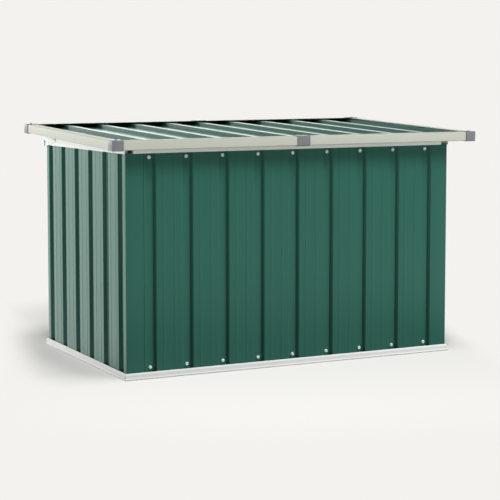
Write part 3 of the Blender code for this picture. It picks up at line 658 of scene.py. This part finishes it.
for side, word in enumerate(CORNERS):
    span = (PANEL_BOTTOM, CORNER_TOP)
    stock = {"Offset": STEP_BACK, **ROLLED_SHEET}
    piece = bend("corner_sheet_" + word, corner_section(side), green_coat, *span, **stock)
    paint_back(piece, back_coat, looks_in)
    seat(piece, "box", "green_sheet", "corner_panel_" + word)

    previous = (side - 1) % 4
    leg, leg_before = POST_LEGS if side % 2 == 0 else POST_LEGS[::-1]
    section = plan_points(previous, [(side_length(WALLS, previous) - leg_before, 0.0)])
    section += plan_points(side, [(0.0, 0.0), (leg, 0.0)])
    stock = {"Offset": 2 * STEP_BACK, "Thickness": RAIL_STOCK}
    piece = bend("corner_angle_" + word, section, bright_zinc, *span, **stock)
    seat(piece, "box", "bright_zinc", "corner_post_" + word)

# %% [markdown]
# ## Channel rails
# The sheets stand in a channel on the floor and carry another on top. The tree stretches the
# section along the wall. A slope of 1 at an end cuts the mitre, because a point that lies further
# in then ends further along.

# %% Rail sections
BASE_LIP = 0.018
BASE_FLANGE = 0.042
BASE_SHOULDER = 0.0035
BASE_HEM = 0.0030
BASE_HEM_REACH = 0.0020
TOP_LIP = 0.0145
TOP_FLANGE = 0.037
TOP_RAIL_SETBACK = 0.022
SIDE_LIP_FRONT = 0.015
SIDE_LIP_BACK = 0.021
SIDE_FLANGE = 0.030
RAIL_BEND = 0.0022
CHANNEL_OUT = FIT + RAIL_STOCK
CHANNEL_IN = GROOVE_DEPTH + 2 * (SHEET + FIT) + RAIL_STOCK
MITRED = (1.0, -1.0)
SQUARE = (0.0, 0.0)


def rail(name, rect, side, section, material, start, end, slopes, **sockets):
    """A length of bent section along one side of a rectangle, cut MITRED or SQUARE."""
    ends = {"Start_Slope": slopes[0], "End_Slope": slopes[1]}
    sockets = {"Bend_Radius": RAIL_BEND, "Thickness": RAIL_STOCK, **ends, **sockets}
    return bend(name, section, material, start, end, rail_frame(rect, side), **sockets)


def base_section():
    """An outer lip that leans in and steps out to a hem, the foot, and a taller inner flange."""
    face = -CHANNEL_OUT - BASE_SHOULDER
    hem = face - BASE_HEM_REACH
    return [
        (-CHANNEL_OUT, BASE_LIP),
        (face, BASE_LIP - BASE_SHOULDER),
        (face, BASE_HEM + BASE_HEM_REACH),
        (hem, BASE_HEM),
        (hem, 0.0),
        (CHANNEL_IN, 0.0),
        (CHANNEL_IN, BASE_FLANGE),
    ]


def channel_down(top, lip, flange):
    inner = (CHANNEL_IN, top - flange)
    return [inner, (CHANNEL_IN, top), (-CHANNEL_OUT, top), (-CHANNEL_OUT, top - lip)]


# %% Base rails and long top rails
for side, word in enumerate(SIDES):
    end = side_length(WALLS, side) - FIT
    name = "base_channel_" + word
    piece = rail(name, WALLS, side, base_section(), white_paint, FIT, end, MITRED)
    seat(piece, "box", "white_rail", "base_rail_" + word)

for side in (0, 2):
    section = channel_down(WALL_HEIGHT, TOP_LIP, TOP_FLANGE)
    span = (TOP_RAIL_SETBACK, WALL_WIDTH - TOP_RAIL_SETBACK)
    name = "top_channel_" + SIDES[side]
    piece = rail(name, WALLS, side, section, white_paint, *span, SQUARE)
    seat(piece, "box", "white_rail", "top_rail_" + SIDES[side])

# %% [markdown]
# ## The tapered rails under the lid's sides
# The side top rails grow taller towards the back, to follow the lid's slope. A sweep has one
# section from end to end, so these two are lofted instead: the section is drawn at each end, and
# faces join the two.

# %% Lofting
ARC_STEPS = 5


def offset_line(points, distance):
    """Moves an open line to its left by a distance, with mitred corners."""
    spots = [Vector(point) for point in points]
    runs = [(b - a).normalized() for a, b in zip(spots, spots[1:])]
    moved = []
    for i, spot in enumerate(spots):
        first = runs[max(i - 1, 0)]
        second = runs[min(i, len(runs) - 1)]
        shift = Vector((-first.y - second.y, first.x + second.x))
        moved.append(spot + shift * (distance / (1 + first.dot(second))))
    return moved


def round_bends(points, radius):
    """Replaces each inner corner of an open line by a short arc."""
    spots = [Vector(point) for point in points]
    result = [spots[0]]
    for before, corner, after in zip(spots, spots[1:], spots[2:]):
        back = (before - corner).normalized()
        ahead = (after - corner).normalized()
        reach = radius * math.tan((math.pi - back.angle(ahead)) / 2)
        for i in range(ARC_STEPS + 1):
            t = i / ARC_STEPS
            bow = (corner + back * reach) * (1 - t) ** 2 + corner * (2 * t * (1 - t))
            result.append(bow + (corner + ahead * reach) * t**2)
    result.append(spots[-1])
    return result


def loft(name, rings, material):
    """A closed body through rings of as many points each."""
    shape = bmesh.new()
    verts = [[shape.verts.new(point) for point in ring] for ring in rings]
    count = len(rings[0])
    for near, far in zip(verts, verts[1:]):
        for i in range(count):
            j = (i + 1) % count
            shape.faces.new((near[i], near[j], far[j], far[i]))
    shape.faces.new(verts[0])
    shape.faces.new(verts[-1])
    mesh = bpy.data.meshes.new(name)
    shape.to_mesh(mesh)
    shape.free()
    mesh.materials.append(material)
    return settle(name, mesh)


# %% Tapered side rails
LID_SLOPE = math.radians(1.4)


def lid_rest(y):
    """Height on which the closed lid comes down, at one distance from the front."""
    return WALL_HEIGHT + (y - WALL_FRONT) * math.tan(LID_SLOPE)


for side in (1, 3):
    place = rail_frame(WALLS, side)
    rings = []
    for y, lip, starts in (
        (WALL_FRONT, SIDE_LIP_FRONT, side == 1),
        (WALL_BACK, SIDE_LIP_BACK, side == 3),
    ):
        rise = lid_rest(y) - WALL_HEIGHT
        line = round_bends(channel_down(0.0, lip + rise, SIDE_FLANGE + rise), RAIL_BEND)
        outline = offset_line(line, 0.0) + offset_line(line, RAIL_STOCK)[::-1]
        ring = []
        for inset, height in outline:
            along = inset + FIT if starts else WALL_DEPTH - inset - FIT
            spot = place @ Vector((inset, 0, along))
            spot.z = height + lid_rest(spot.y)
            ring.append(spot)
        rings.append(ring)
    piece = loft("top_channel_" + SIDES[side], rings, white_paint)
    seat(piece, "box", "white_rail", "top_rail_" + SIDES[side])

# %% [markdown]
# ## The lid's frame
# The lid is a ring of channels that open to the inside, leaning forward by a little over a degree.
# Its own frame starts at the front edge of its top face, with Y running back along the slope. The
# long rails come in two halves, and a plastic sleeve hides each joint.

# %% Lid rails and sleeves
LID_HEIGHT = 0.025
LID_FLANGE = 0.025
LID_SOLE = 0.020
LID_BEND = 0.0030
SLEEVE_LENGTH = 0.038
FRONT_OVERHANG = 0.055
BACK_OVERHANG = 0.028
LID_WIDTH = -2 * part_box("lid_rail_left")[0].x
LID_LENGTH = (WALL_DEPTH + FRONT_OVERHANG + BACK_OVERHANG) / math.cos(LID_SLOPE)
LID_FRONT = WALL_FRONT - FRONT_OVERHANG
LID_TOP = (
    WALL_HEIGHT
    + FIT
    + (LID_HEIGHT - LID_STOCK - FIT) * math.cos(LID_SLOPE)
    - FRONT_OVERHANG * math.tan(LID_SLOPE)
)
LID = (-LID_WIDTH / 2, 0.0, LID_WIDTH / 2, LID_LENGTH)
LID_FRAME = Matrix.Translation((0, LID_FRONT, LID_TOP)) @ Matrix.Rotation(LID_SLOPE, 4, "X")
LID_PATH = [(LID_FLANGE, 0.0), (0.0, 0.0), (0.0, -LID_HEIGHT), (LID_SOLE, -LID_HEIGHT)]
PAINTED_SHADE_FACING = 0.5
print("lid:", round(LID_WIDTH, 4), "by", round(LID_LENGTH, 4), "front at", round(LID_FRONT, 5))


def lid_rail(name, side, start, end, slopes, material=pale_paint, **sockets):
    sockets = {"Bend_Radius": LID_BEND, "Thickness": LID_STOCK, **sockets}
    piece = rail(name, LID, side, LID_PATH, material, start, end, slopes, **sockets)
    piece.data.transform(LID_FRAME)
    return piece


for side in (1, 3):
    piece = lid_rail("lid_channel_" + SIDES[side], side, FIT, LID_LENGTH - FIT, MITRED)
    seat(piece, "lid", "pale_rail", "lid_rail_" + SIDES[side])

middle = LID_WIDTH / 2
first_half = (FIT, middle - FIT, (MITRED[0], 0.0))
second_half = (middle + FIT, LID_WIDTH - FIT, (0.0, MITRED[1]))
sleeve_span = (middle - SLEEVE_LENGTH / 2, middle + SLEEVE_LENGTH / 2)
sleeve_wall = {"Offset": -(FIT + CAP_WALL), "Thickness": CAP_WALL}
for side, halves in ((0, ("left", "right")), (2, ("right", "left"))):
    for half, span in zip(halves, (first_half, second_half)):
        name = SIDES[side] + "_" + half
        piece = lid_rail("lid_channel_" + name, side, *span)
        if side == 2:
            # Painted shade: the inner face of the back rail's web gets the near-black finish, which
            # stands in for the deep shadow under the rail's flange.
            paint_back(piece, dark_rivet_and_painted_shade, lambda centre, normal: normal.y < -PAINTED_SHADE_FACING)
        seat(piece, "lid", "pale_rail", "lid_rail_" + name)
    name = "joint_sleeve_" + SIDES[side]
    sleeve = lid_rail(name, side, *sleeve_span, SQUARE, grey_plastic, **sleeve_wall)
    seat(sleeve, "lid", "grey_plastic", "lid_sleeve_" + SIDES[side])

# %% [markdown]
# ## The lid's sheets and stiffeners
# The lid uses the same rolled sheet turned over, so its narrow grooves become ribs that shed water.
# Three sheets lap on two of the ribs. Two hat sections run across underneath and carry them.

# %% Lid sheets
CREST_DROP = 0.0040
PAN_LEVEL = -(CREST_DROP + GROOVE_DEPTH)
LID_SHEET_GAP = 0.0005
LEFT_LAP_RIB = 4
RIGHT_LAP_RIB = 9
ACROSS = Matrix(((1, 0, 0, 0), (0, 0, -1, 0), (0, 1, 0, 0), (0, 0, 0, 1)))


def rib_centre(number):
    return -WALL_WIDTH / 2 + FRONT_MARGIN + PITCH * (number - 1)


def lid_sheet(word, start, stop, first, last, drop):
    """One lid sheet from start to stop, which carries the ribs from first to last."""
    section = []
    for number in range(first, last + 1):
        rib = groove(rib_centre(number), PAN_LEVEL)
        section += [point for point in rib if start < point[0] < stop]
        if number < last:
            section += beads_after(rib_centre(number), PAN_LEVEL, up=1.0)
    section = [(start, section[0][1]), *section, (stop, section[-1][1])]
    inset = LID_STOCK + LID_SHEET_GAP
    span = (inset - LID_LENGTH, -inset)
    name = "roof_sheet_" + word
    place = LID_FRAME @ ACROSS
    offset = -drop - SHEET
    piece = bend(name, section, green_coat, *span, place, Offset=offset, **ROLLED_SHEET)
    paint_back(piece, back_coat, lambda centre, normal: normal.z < -FACING)
    seat(piece, "lid", "green_sheet", "lid_sheet_" + word)


lid_edge = LID_WIDTH / 2 - LID_STOCK - LID_SHEET_GAP
left_lap = rib_centre(LEFT_LAP_RIB)
right_lap = rib_centre(RIGHT_LAP_RIB)
lap_ribs = (LEFT_LAP_RIB, RIGHT_LAP_RIB)
lid_sheet("left", -lid_edge, left_lap + LAP_STUB, 0, LEFT_LAP_RIB, STEP_BACK)
lid_sheet("middle", left_lap - LAP_REACH, right_lap + LAP_REACH, *lap_ribs, 0.0)
lid_sheet("right", right_lap - LAP_STUB, lid_edge, RIGHT_LAP_RIB, FRONT_GROOVES + 1, STEP_BACK)

# %% Stiffeners
STIFFENER_WIDTH = 0.034
STIFFENER_FOOT = 0.010
STIFFENER_LEAN = 0.004
STIFFENER_BEND = {"Bend_Radius": 0.0024, "Bend_Steps": 4, "Offset": -RAIL_STOCK}
FRONT_STIFFENER_PLACE = 0.190
STRUT_LOW = Vector((0.0, 0.2231946, 0.324466))
STRUT_HIGH = Vector((0.0, 0.0433732, 0.596))

# Each is a hat section; its frame has X along the lid's slope and Y up.
foot = -(LID_HEIGHT - LID_STOCK - FIT) + RAIL_STOCK
top = PAN_LEVEL - 2 * STEP_BACK
wide = STIFFENER_WIDTH / 2
half = [(wide + STIFFENER_FOOT, foot), (wide, foot), (wide - STIFFENER_LEAN, top)]
edge = LID_WIDTH / 2 - LID_BEND - LID_SHEET_GAP
place = LID_FRAME @ LENGTHWISE
stock = {"Thickness": RAIL_STOCK, **STIFFENER_BEND}
for word, middle in (("front", FRONT_STIFFENER_PLACE), ("rear", STRUT_HIGH.y - LID_FRONT)):
    section = both_ways(middle, half)
    piece = bend("stiffener_" + word, section, bright_zinc, -edge, edge, place, **stock)
    seat(piece, "lid", "bright_zinc", "lid_stiffener_" + word)

# %% [markdown]
# ## One tree for everything turned
# Screws, bolts, rods and tubes are turned: an outline of radius and height goes round an axis. The
# tree sweeps the outline round a small hub circle and sets out as many copies as a row needs.

# %% The turned row tree
HUB = 0.002
FINE_SIDES = 32
SMALL_SIDES = 12


def turned_row_tree():
    sockets = {"Section": "Geometry", "Sides": SMALL_SIDES, "Count": 1, "Pitch": 0.1}
    tree, given, result = geometry_tree("turned_row", sockets)
    outline = put(tree, "MeshToCurve", {0: given["Section"]})
    onto_hub = {0: outline, "Translation": (-HUB, 0, 0), "Scale": (1, -1, 1)}
    profile = put(tree, "Transform", onto_hub)
    circle = {"Resolution": given["Sides"], "Radius": HUB}
    hub = put(tree, "CurvePrimitiveCircle", circle)
    ring = put(tree, "SetCurveNormal", {0: hub}, mode="Z_UP")
    swept = put(tree, "CurveToMesh", {"Curve": ring, "Profile Curve": profile})
    return hand_out(tree, repeated(tree, swept, given, "Count"), given, result)


TURNED_ROW = turned_row_tree()


def in_mm(*points):
    """An outline's points (radius and height) from millimetres to metres."""
    return [(radius / 1000, height / 1000) for radius, height in points]


def turned(name, outline, place, material, sides=FINE_SIDES, count=1):
    values = {"Sides": sides, "Count": count, "Pitch": PITCH, "Material": material}
    return grow(name, TURNED_ROW, outline, values, place)


def axis_frame(centre, axis):
    """The matrix of a turned piece's frame, with Z along its axis."""
    return Matrix.Translation(centre) @ Vector(axis).to_track_quat("Z", "Y").to_matrix().to_4x4()


def joined(name, parts):
    """Several closed shapes as one piece, each with a material of its own."""
    shape = bmesh.new()
    mesh = bpy.data.meshes.new(name)
    for number, part in enumerate(parts):
        before = len(shape.faces)
        shape.from_mesh(part.data)
        shape.faces.ensure_lookup_table()
        for face in shape.faces[before:]:
            face.material_index = number
        mesh.materials.append(part.data.materials[0])
        bpy.data.objects.remove(part, do_unlink=True)
    shape.to_mesh(mesh)
    shape.free()
    return settle(name, mesh)


# %% Wall screws
SCREW_HEAD = GROOVE_DEPTH - FIT
LOWER_SCREW_HEIGHT = 0.028
UPPER_SCREW_HEIGHT = WALL_HEIGHT - 0.025
SCREW = in_mm(
    (0, 0.6), (1.3, 0.8), (1.9, 2.3), (3.0, 2.4), (4.1, 1.8), (4.6, 0.9),
    (5.0, 0.7), (5.0, 0), (2.0, 0), (2.0, -6.1), (0, -9.1),
)


def screw_row(name, side, height, rail_node):
    """One pan head screw in every groove of a wall, from the outside into a rail's flange."""
    place = WALL_FRAME[side] @ Matrix.Translation((MARGIN[side], SCREW_HEAD, height))
    place = place @ Matrix.Rotation(math.pi / 2, 4, "X")
    piece = turned(name, SCREW, place, pale_zinc, SMALL_SIDES, GROOVE_COUNT[side])
    seat(piece, "box", "bright_zinc", rail_node)


for side in (0, 2):
    word = SIDES[side]
    screw_row("lower_screws_" + word, side, LOWER_SCREW_HEIGHT, "base_rail_" + word)
    screw_row("upper_screws_" + word, side, UPPER_SCREW_HEIGHT, "top_rail_" + word)

# %% [markdown]
# ## Moulded caps
# Each corner of the lid wears a soft edged plastic cap with a small stud on top. It starts as a
# block with bevelled edges. A tree adds the stud and hollows the block out from its two inner
# sides.

# %% Caps
CAP_REACH = 0.030
CAP_SOFT = 0.0016
CAP_SOFT_STEPS = 4
STUD_RADIUS = 0.0035
STUD_HEIGHT = 0.0016
STUD_FACETS = {"Segments": 20, "Rings": 12}
CAP_PROUD = FIT + CAP_WALL


def moulded_cap_tree():
    sockets = {
        "Block": "Geometry",
        "Hollow Size": (1.0, 1.0, 1.0),
        "Hollow Centre": (0.0, 0.0, 0.0),
        "Stud Radius": 0.003,
        "Stud Scale": (1.0, 1.0, 1.0),
        "Stud Centre": (0.0, 0.0, 0.0),
    }
    tree, given, result = geometry_tree("moulded_cap", sockets)
    ball = put(tree, "MeshUVSphere", {"Radius": given["Stud Radius"], **STUD_FACETS})
    flat = {0: ball, "Translation": given["Stud Centre"], "Scale": given["Stud Scale"]}
    stud = put(tree, "Transform", flat)
    whole = put(tree, "MeshBoolean", operation="UNION", solver="EXACT")
    feed(tree, whole.inputs["Mesh 2"], given["Block"])
    feed(tree, whole.inputs["Mesh 2"], stud)
    cube = put(tree, "MeshCube", {"Size": given["Hollow Size"]})
    hollow = put(tree, "Transform", {0: cube, "Translation": given["Hollow Centre"]})
    bodies = {"Mesh 1": whole, "Mesh 2": hollow}
    cut = put(tree, "MeshBoolean", bodies, operation="DIFFERENCE", solver="EXACT")
    return hand_out(tree, cut, given, result)


MOULDED_CAP = moulded_cap_tree()


def soft_block(name, low, high, bottom, top):
    """A block with bevelled edges in a rail's frame: X inwards, Y up, Z along."""
    shape = bmesh.new()
    bmesh.ops.create_cube(shape, size=1.0)
    span = high - low
    middle = (low + high) / 2
    bmesh.ops.scale(shape, vec=(span, top - bottom, span), verts=shape.verts)
    bmesh.ops.translate(shape, vec=(middle, (top + bottom) / 2, middle), verts=shape.verts)
    round_edges = {"segments": CAP_SOFT_STEPS, "profile": 0.5, "affect": "EDGES"}
    bmesh.ops.bevel(shape, geom=shape.edges, offset=CAP_SOFT, **round_edges)
    mesh = bpy.data.meshes.new(name)
    shape.to_mesh(mesh)
    shape.free()
    return mesh


for side in range(4):
    name = "corner_cap_" + CORNERS[side]
    bottom = -LID_HEIGHT - CAP_PROUD
    block = soft_block(name + "_block", -CAP_PROUD, CAP_REACH, bottom, CAP_PROUD)
    far = CAP_REACH + CAP_WALL
    middle = (CAP_REACH - CAP_PROUD) / 2
    values = {
        "Hollow Size": (far + FIT, LID_HEIGHT + 2 * FIT, far + FIT),
        "Hollow Centre": ((far - FIT) / 2, -LID_HEIGHT / 2, (far - FIT) / 2),
        "Stud Radius": STUD_RADIUS,
        "Stud Scale": (1.0, STUD_HEIGHT / STUD_RADIUS, 1.0),
        "Stud Centre": (middle, CAP_PROUD, middle),
        "Material": grey_plastic,
    }
    piece = grow(name, MOULDED_CAP, block, values, LID_FRAME @ rail_frame(LID, side))
    seat(piece, "lid", "grey_plastic", "lid_cap_" + CORNERS[side])

# %% [markdown]
# ## Pivots and gas struts
# The lid turns on two bolts behind the side walls. A gas strut on each side pushes between a pin on
# the wall and a pin on the lid. Eyes, necks, tube and rod are all turned pieces.

# %% Hinge bolts
RAIL_FACE = WALL_WIDTH / 2 + RAIL_STOCK
NUT_HEIGHT = 0.006
BOLT_TIP = 0.0024
HINGE_FACE = RAIL_FACE + 3 * FIT + PLATE_STOCK
BOLT_LENGTH = HINGE_FACE - (RAIL_FACE - PLATE_STOCK - NUT_HEIGHT - BOLT_TIP)
PIVOT = Vector((WALL_BACK + 0.010, WALL_HEIGHT - 0.016))
TIP = BOLT_LENGTH * 1000
BOLT = in_mm(
    (0, -2.6), (2.6, -2.6), (3.4, -3.2), (7.4, -3.2), (8.5, -2.8), (9.0, -1.8),
    (9.0, 0), (4.0, 0), (4.0, TIP - 0.5), (3.5, TIP), (0, TIP),
)

for hand, word in HANDS:
    place = axis_frame((hand * HINGE_FACE, *PIVOT), (-hand, 0, 0))
    bolt = turned("pivot_bolt_" + word, BOLT, place, pale_zinc)
    seat(bolt, "box", "bright_zinc", "hinge_bolt_" + word)

# %% Hinge plates
PLATE_EDGE = 0.0004
PLATE_END = 0.011
PLATE_NOSE = 0.008
PLATE_ARC_STEPS = 20
NOSE = Vector((WALL_BACK - 0.076, WALL_HEIGHT - 0.002))
RIVET = in_mm((0, 0.5), (1.2, 0.5), (1.7, 0), (1.7, -0.5), (0, -0.5))
RIVET_PLACES = ((0.0062, 0.0), (-0.0050, 0.0), (0.0690, -0.0090), (0.0470, -0.0120))


def plate_outline(x, inset):
    """Two circles and their common tangents, which lie in the plane of a side wall."""
    between = NOSE - PIVOT
    lean = math.acos((PLATE_END - PLATE_NOSE) / between.length)
    heading = math.atan2(between.y, between.x)
    points = []
    for middle, radius, start, stop in (
        (PIVOT, PLATE_END - inset, heading + lean, heading + 2 * math.pi - lean),
        (NOSE, PLATE_NOSE - inset, heading - lean, heading + lean),
    ):
        for i in range(PLATE_ARC_STEPS + 1):
            angle = start + (stop - start) * i / PLATE_ARC_STEPS
            spot = middle + Vector((math.cos(angle), math.sin(angle))) * radius
            points.append((x, *spot))
    return points


for hand, word in HANDS:
    near = hand * (RAIL_FACE + 2 * FIT)
    far = near + hand * PLATE_STOCK
    levels = ((near, 0.0), (far - hand * PLATE_EDGE, 0.0), (far, PLATE_EDGE))
    rings = [plate_outline(x, inset) for x, inset in levels]
    parts = [loft("plate_" + word, rings, white_paint)]
    for along, height in RIVET_PLACES:
        place = axis_frame((far, NOSE.x + along, NOSE.y + height), (hand, 0, 0))
        parts.append(turned("rivet", RIVET, place, dark_rivet_and_painted_shade, SMALL_SIDES))
    seat(joined("pivot_plate_" + word, parts), "box", "white_rail", "hinge_plate_" + word)

# %% Struts
STRUT_X = WALL_WIDTH / 2 - 0.028
STRUT_CLOSED = (STRUT_HIGH - STRUT_LOW).length
ROD_SHOWN = 0.0407
NECK_LENGTH = 0.020
TUBE_WALL = 0.0015
PISTON_REST = 0.0042
# The ends of tube and rod in millimetres, and the length of the rod's guide and of the piston.
TUBE_TO = (STRUT_CLOSED - ROD_SHOWN) * 1000
ROD_TO = (STRUT_CLOSED - NECK_LENGTH - TUBE_WALL - PISTON_REST) * 1000
GUIDE = 8.0
TUBE = in_mm(
    (0, 5.7), (5.0, 5.7), (5.0, 19.4), (5.6, 20.0), (8.0, 20.0), (8.7, 20.3), (9.0, 21.2),
    (9.0, TUBE_TO - 1.6), (8.6, TUBE_TO - 0.6), (7.8, TUBE_TO), (4.4, TUBE_TO),
    (4.4, TUBE_TO - GUIDE), (7.5, TUBE_TO - GUIDE), (7.5, 21.5), (0, 21.5),
)
ROD = in_mm(
    (0, 5.7), (4.0, 5.7), (4.0, ROD_TO - GUIDE), (7.1, ROD_TO - GUIDE), (7.1, ROD_TO), (0, ROD_TO)
)
EYE = in_mm(
    (3.4, -4.0), (7.2, -4.0), (8.0, -3.2), (8.0, 3.2), (7.2, 4.0), (3.4, 4.0), (3.4, -4.0)
)


def strut_half(name, outline, start, end, material):
    stem = turned(name + "_stem", outline, axis_frame(start, end - start), material)
    eye = turned(name + "_eye", EYE, axis_frame(start, (1, 0, 0)), material)
    return joined(name, [stem, eye])


for hand, word in HANDS:
    across = Vector((hand * STRUT_X, 0, 0))
    low = STRUT_LOW + across
    high = STRUT_HIGH + across
    tube = strut_half("gas_tube_" + word, TUBE, low, high, black_paint)
    seat(tube, "strut_tube_" + word, "black_tube", "strut_tube_" + word)
    rod = strut_half("gas_rod_" + word, ROD, high, low, chrome)
    seat(rod, "strut_rod_" + word, "chrome_rod", "strut_rod_" + word)

# %% [markdown]
# ## The floor and the light
# The box stands on a pale floor in an even studio. Away from the box the floor must melt into the
# background, so its material blends from a plain matt surface, which takes the shadow, into the
# flat background colour: round the box by distance, and sooner at its two ends.
#
# The painted sheet mirrors its surroundings. So glossy rays meet a pale backdrop behind the box,
# both in the world and on the floor, and a fainter glow on the floor in front.

# %% Floor
BACKGROUND = colour(244, 242, 238)
BACKDROP_SIDE = Vector((-0.35, 0.94, 0.0))
FLOOR_SIDE = Vector((0.95, -0.31, 0.0))
FLOOR_SEEN = (0.40, 0.395, 0.385, 1)
FLOOR_BOUNCING = (0.10, 0.099, 0.096, 1)
FLOOR_LIFT = 0.2
FLOOR_ROUGHNESS = 0.9
FLOOR_HALF = 30
# Each row is a map from one range to another.
BACKDROP_GLOW = (-0.6, 0.6, 0.1, 1.5)
FRONT_GLOW = (-1.5, -0.75, 0.7, 0.0)
FRONT_GLOW_RISE = (-4.0, -2.4)
MELT_BY_DISTANCE = (0.65, 1.25)
MELT_BY_SIDE = (0.57, 0.70)


def floor_material():
    material, tree, shader = new_material("studio_floor")
    rays = put(tree, "LightPath").outputs
    seen = rays["Is Camera Ray"]
    glossy = rays["Is Glossy Ray"]
    unseen = maths(tree, "SUBTRACT", 1.0, seen)
    place = put(tree, "TexCoord").outputs["Object"]
    behind = reach_toward(tree, place, BACKDROP_SIDE)
    mirrored = map_range(tree, behind, *BACKDROP_GLOW)
    near = map_range(tree, behind, *FRONT_GLOW)
    far_off = map_range(tree, behind, *FRONT_GLOW_RISE)
    shown = maths(tree, "MULTIPLY_ADD", near, far_off, mirrored)
    lifted = maths(tree, "MULTIPLY", seen, FLOOR_LIFT)
    values = {
        "Base Color": mix_colours(tree, unseen, FLOOR_SEEN, FLOOR_BOUNCING),
        "Roughness": FLOOR_ROUGHNESS,
        "Specular IOR Level": 0.0,
        "Emission Color": BACKGROUND,
        "Emission Strength": maths(tree, "MULTIPLY_ADD", glossy, shown, lifted),
    }
    feed_all(tree, shader, values)
    distance = put(tree, "VectorMath", {0: place}, operation="LENGTH").outputs["Value"]
    fade = map_range(tree, distance, *MELT_BY_DISTANCE)
    beside = maths(tree, "ABSOLUTE", reach_toward(tree, place, FLOOR_SIDE))
    edge = map_range(tree, beside, *MELT_BY_SIDE)
    melt = maths(tree, "MAXIMUM", fade, edge)
    unglossy = maths(tree, "SUBTRACT", 1.0, glossy)
    strength = maths(tree, "MULTIPLY_ADD", glossy, shown, unglossy)
    plain = put(tree, "Emission", {"Color": BACKGROUND, "Strength": strength})
    blend = put(tree, "MixShader", {0: melt, 1: shader, 2: plain})
    feed(tree, tree.nodes["Material Output"].inputs["Surface"], blend)
    return material


corners = [(-FLOOR_HALF, -FLOOR_HALF, 0), (FLOOR_HALF, -FLOOR_HALF, 0)]
corners += [(FLOOR_HALF, FLOOR_HALF, 0), (-FLOOR_HALF, FLOOR_HALF, 0)]
mesh = bpy.data.meshes.new("floor")
mesh.from_pydata(corners, [], [(0, 1, 2, 3)])
mesh.materials.append(floor_material())
floor = add_object("floor", mesh)

# %% World and lamps
AMBIENT = (-0.4, 0.8, 0.05, 0.24)
BACKDROP = (0.35, 0.85, 0.25, 3.3)
BACKDROP_TOP = (0.1, 0.4, 1.0, 0.2)


def make_world():
    """The camera sees the flat background, gloss a pale backdrop, and the rest soft light."""
    world = bpy.data.worlds.new("studio")
    world.use_nodes = True
    bpy.context.scene.world = world
    tree = world.node_tree
    rays = put(tree, "LightPath").outputs
    outward = put(tree, "TexCoord").outputs["Generated"]
    behind = reach_toward(tree, outward, BACKDROP_SIDE)
    light = tree.nodes["Background"]
    feed(tree, light.inputs["Color"], (1, 1, 1, 1))
    feed(tree, light.inputs["Strength"], map_range(tree, behind, *AMBIENT))
    height = put(tree, "SeparateXYZ", {0: outward}).outputs["Z"]
    falling = map_range(tree, height, *BACKDROP_TOP)
    level = maths(tree, "MULTIPLY", map_range(tree, behind, *BACKDROP), falling)
    mirrored = put(tree, "Background", {"Color": BACKGROUND, "Strength": level})
    seen = put(tree, "Background", {"Color": BACKGROUND, "Strength": 1.0})
    lit = put(tree, "MixShader", {0: rays["Is Glossy Ray"], 1: light, 2: mirrored})
    mix = put(tree, "MixShader", {0: rays["Is Camera Ray"], 1: lit, 2: seen})
    feed(tree, tree.nodes["World Output"].inputs["Surface"], mix)


def area_lamp(name, place, aim, size, power, state):
    """A softbox that lights the floor alone (INCLUDE) or everything but the floor (EXCLUDE)."""
    data = bpy.data.lights.new(name, "AREA")
    data.shape = "RECTANGLE"
    data.size, data.size_y = size
    data.energy = power
    lamp = add_object(name, data)
    lamp.location = place
    lamp.rotation_euler = (Vector(aim) - Vector(place)).to_track_quat("-Z", "Y").to_euler()
    lamp.visible_camera = False
    lamp.visible_glossy = False
    receivers = bpy.data.collections.new(name + "_receivers")
    receivers.objects.link(floor)
    receivers.collection_objects[0].light_linking.link_state = state
    lamp.light_linking.receiver_collection = receivers
    print("lamp:", name, power, "W")


make_world()
area_lamp("key_softbox", (3.4, -4.6, 5.4), (0, 0, 0.3), (3.5, 3.0), 560, "EXCLUDE")
area_lamp("front_softbox", (2.0, -3.6, 0.6), (0, 0, 0.3), (1.8, 1.0), 12, "EXCLUDE")
area_lamp("left_softbox", (-3.6, 4.4, 1.5), (-0.5, 0, 0.3), (2.0, 2.0), 218, "EXCLUDE")
area_lamp("high_softbox", (-2.4, 1.6, 2.3), (-0.3, 0, 0.3), (1.6, 1.6), 10, "EXCLUDE")
area_lamp("floor_softbox", (-2.5, -5.0, 4.8), (0, 0, 0), (2.4, 2.0), 625, "INCLUDE")
area_lamp("floor_overhead", (0.1, -1.2, 5.0), (0, 0, 0), (1.1, 1.4), 220, "INCLUDE")
bpy.context.scene.view_settings.view_transform = "Standard"
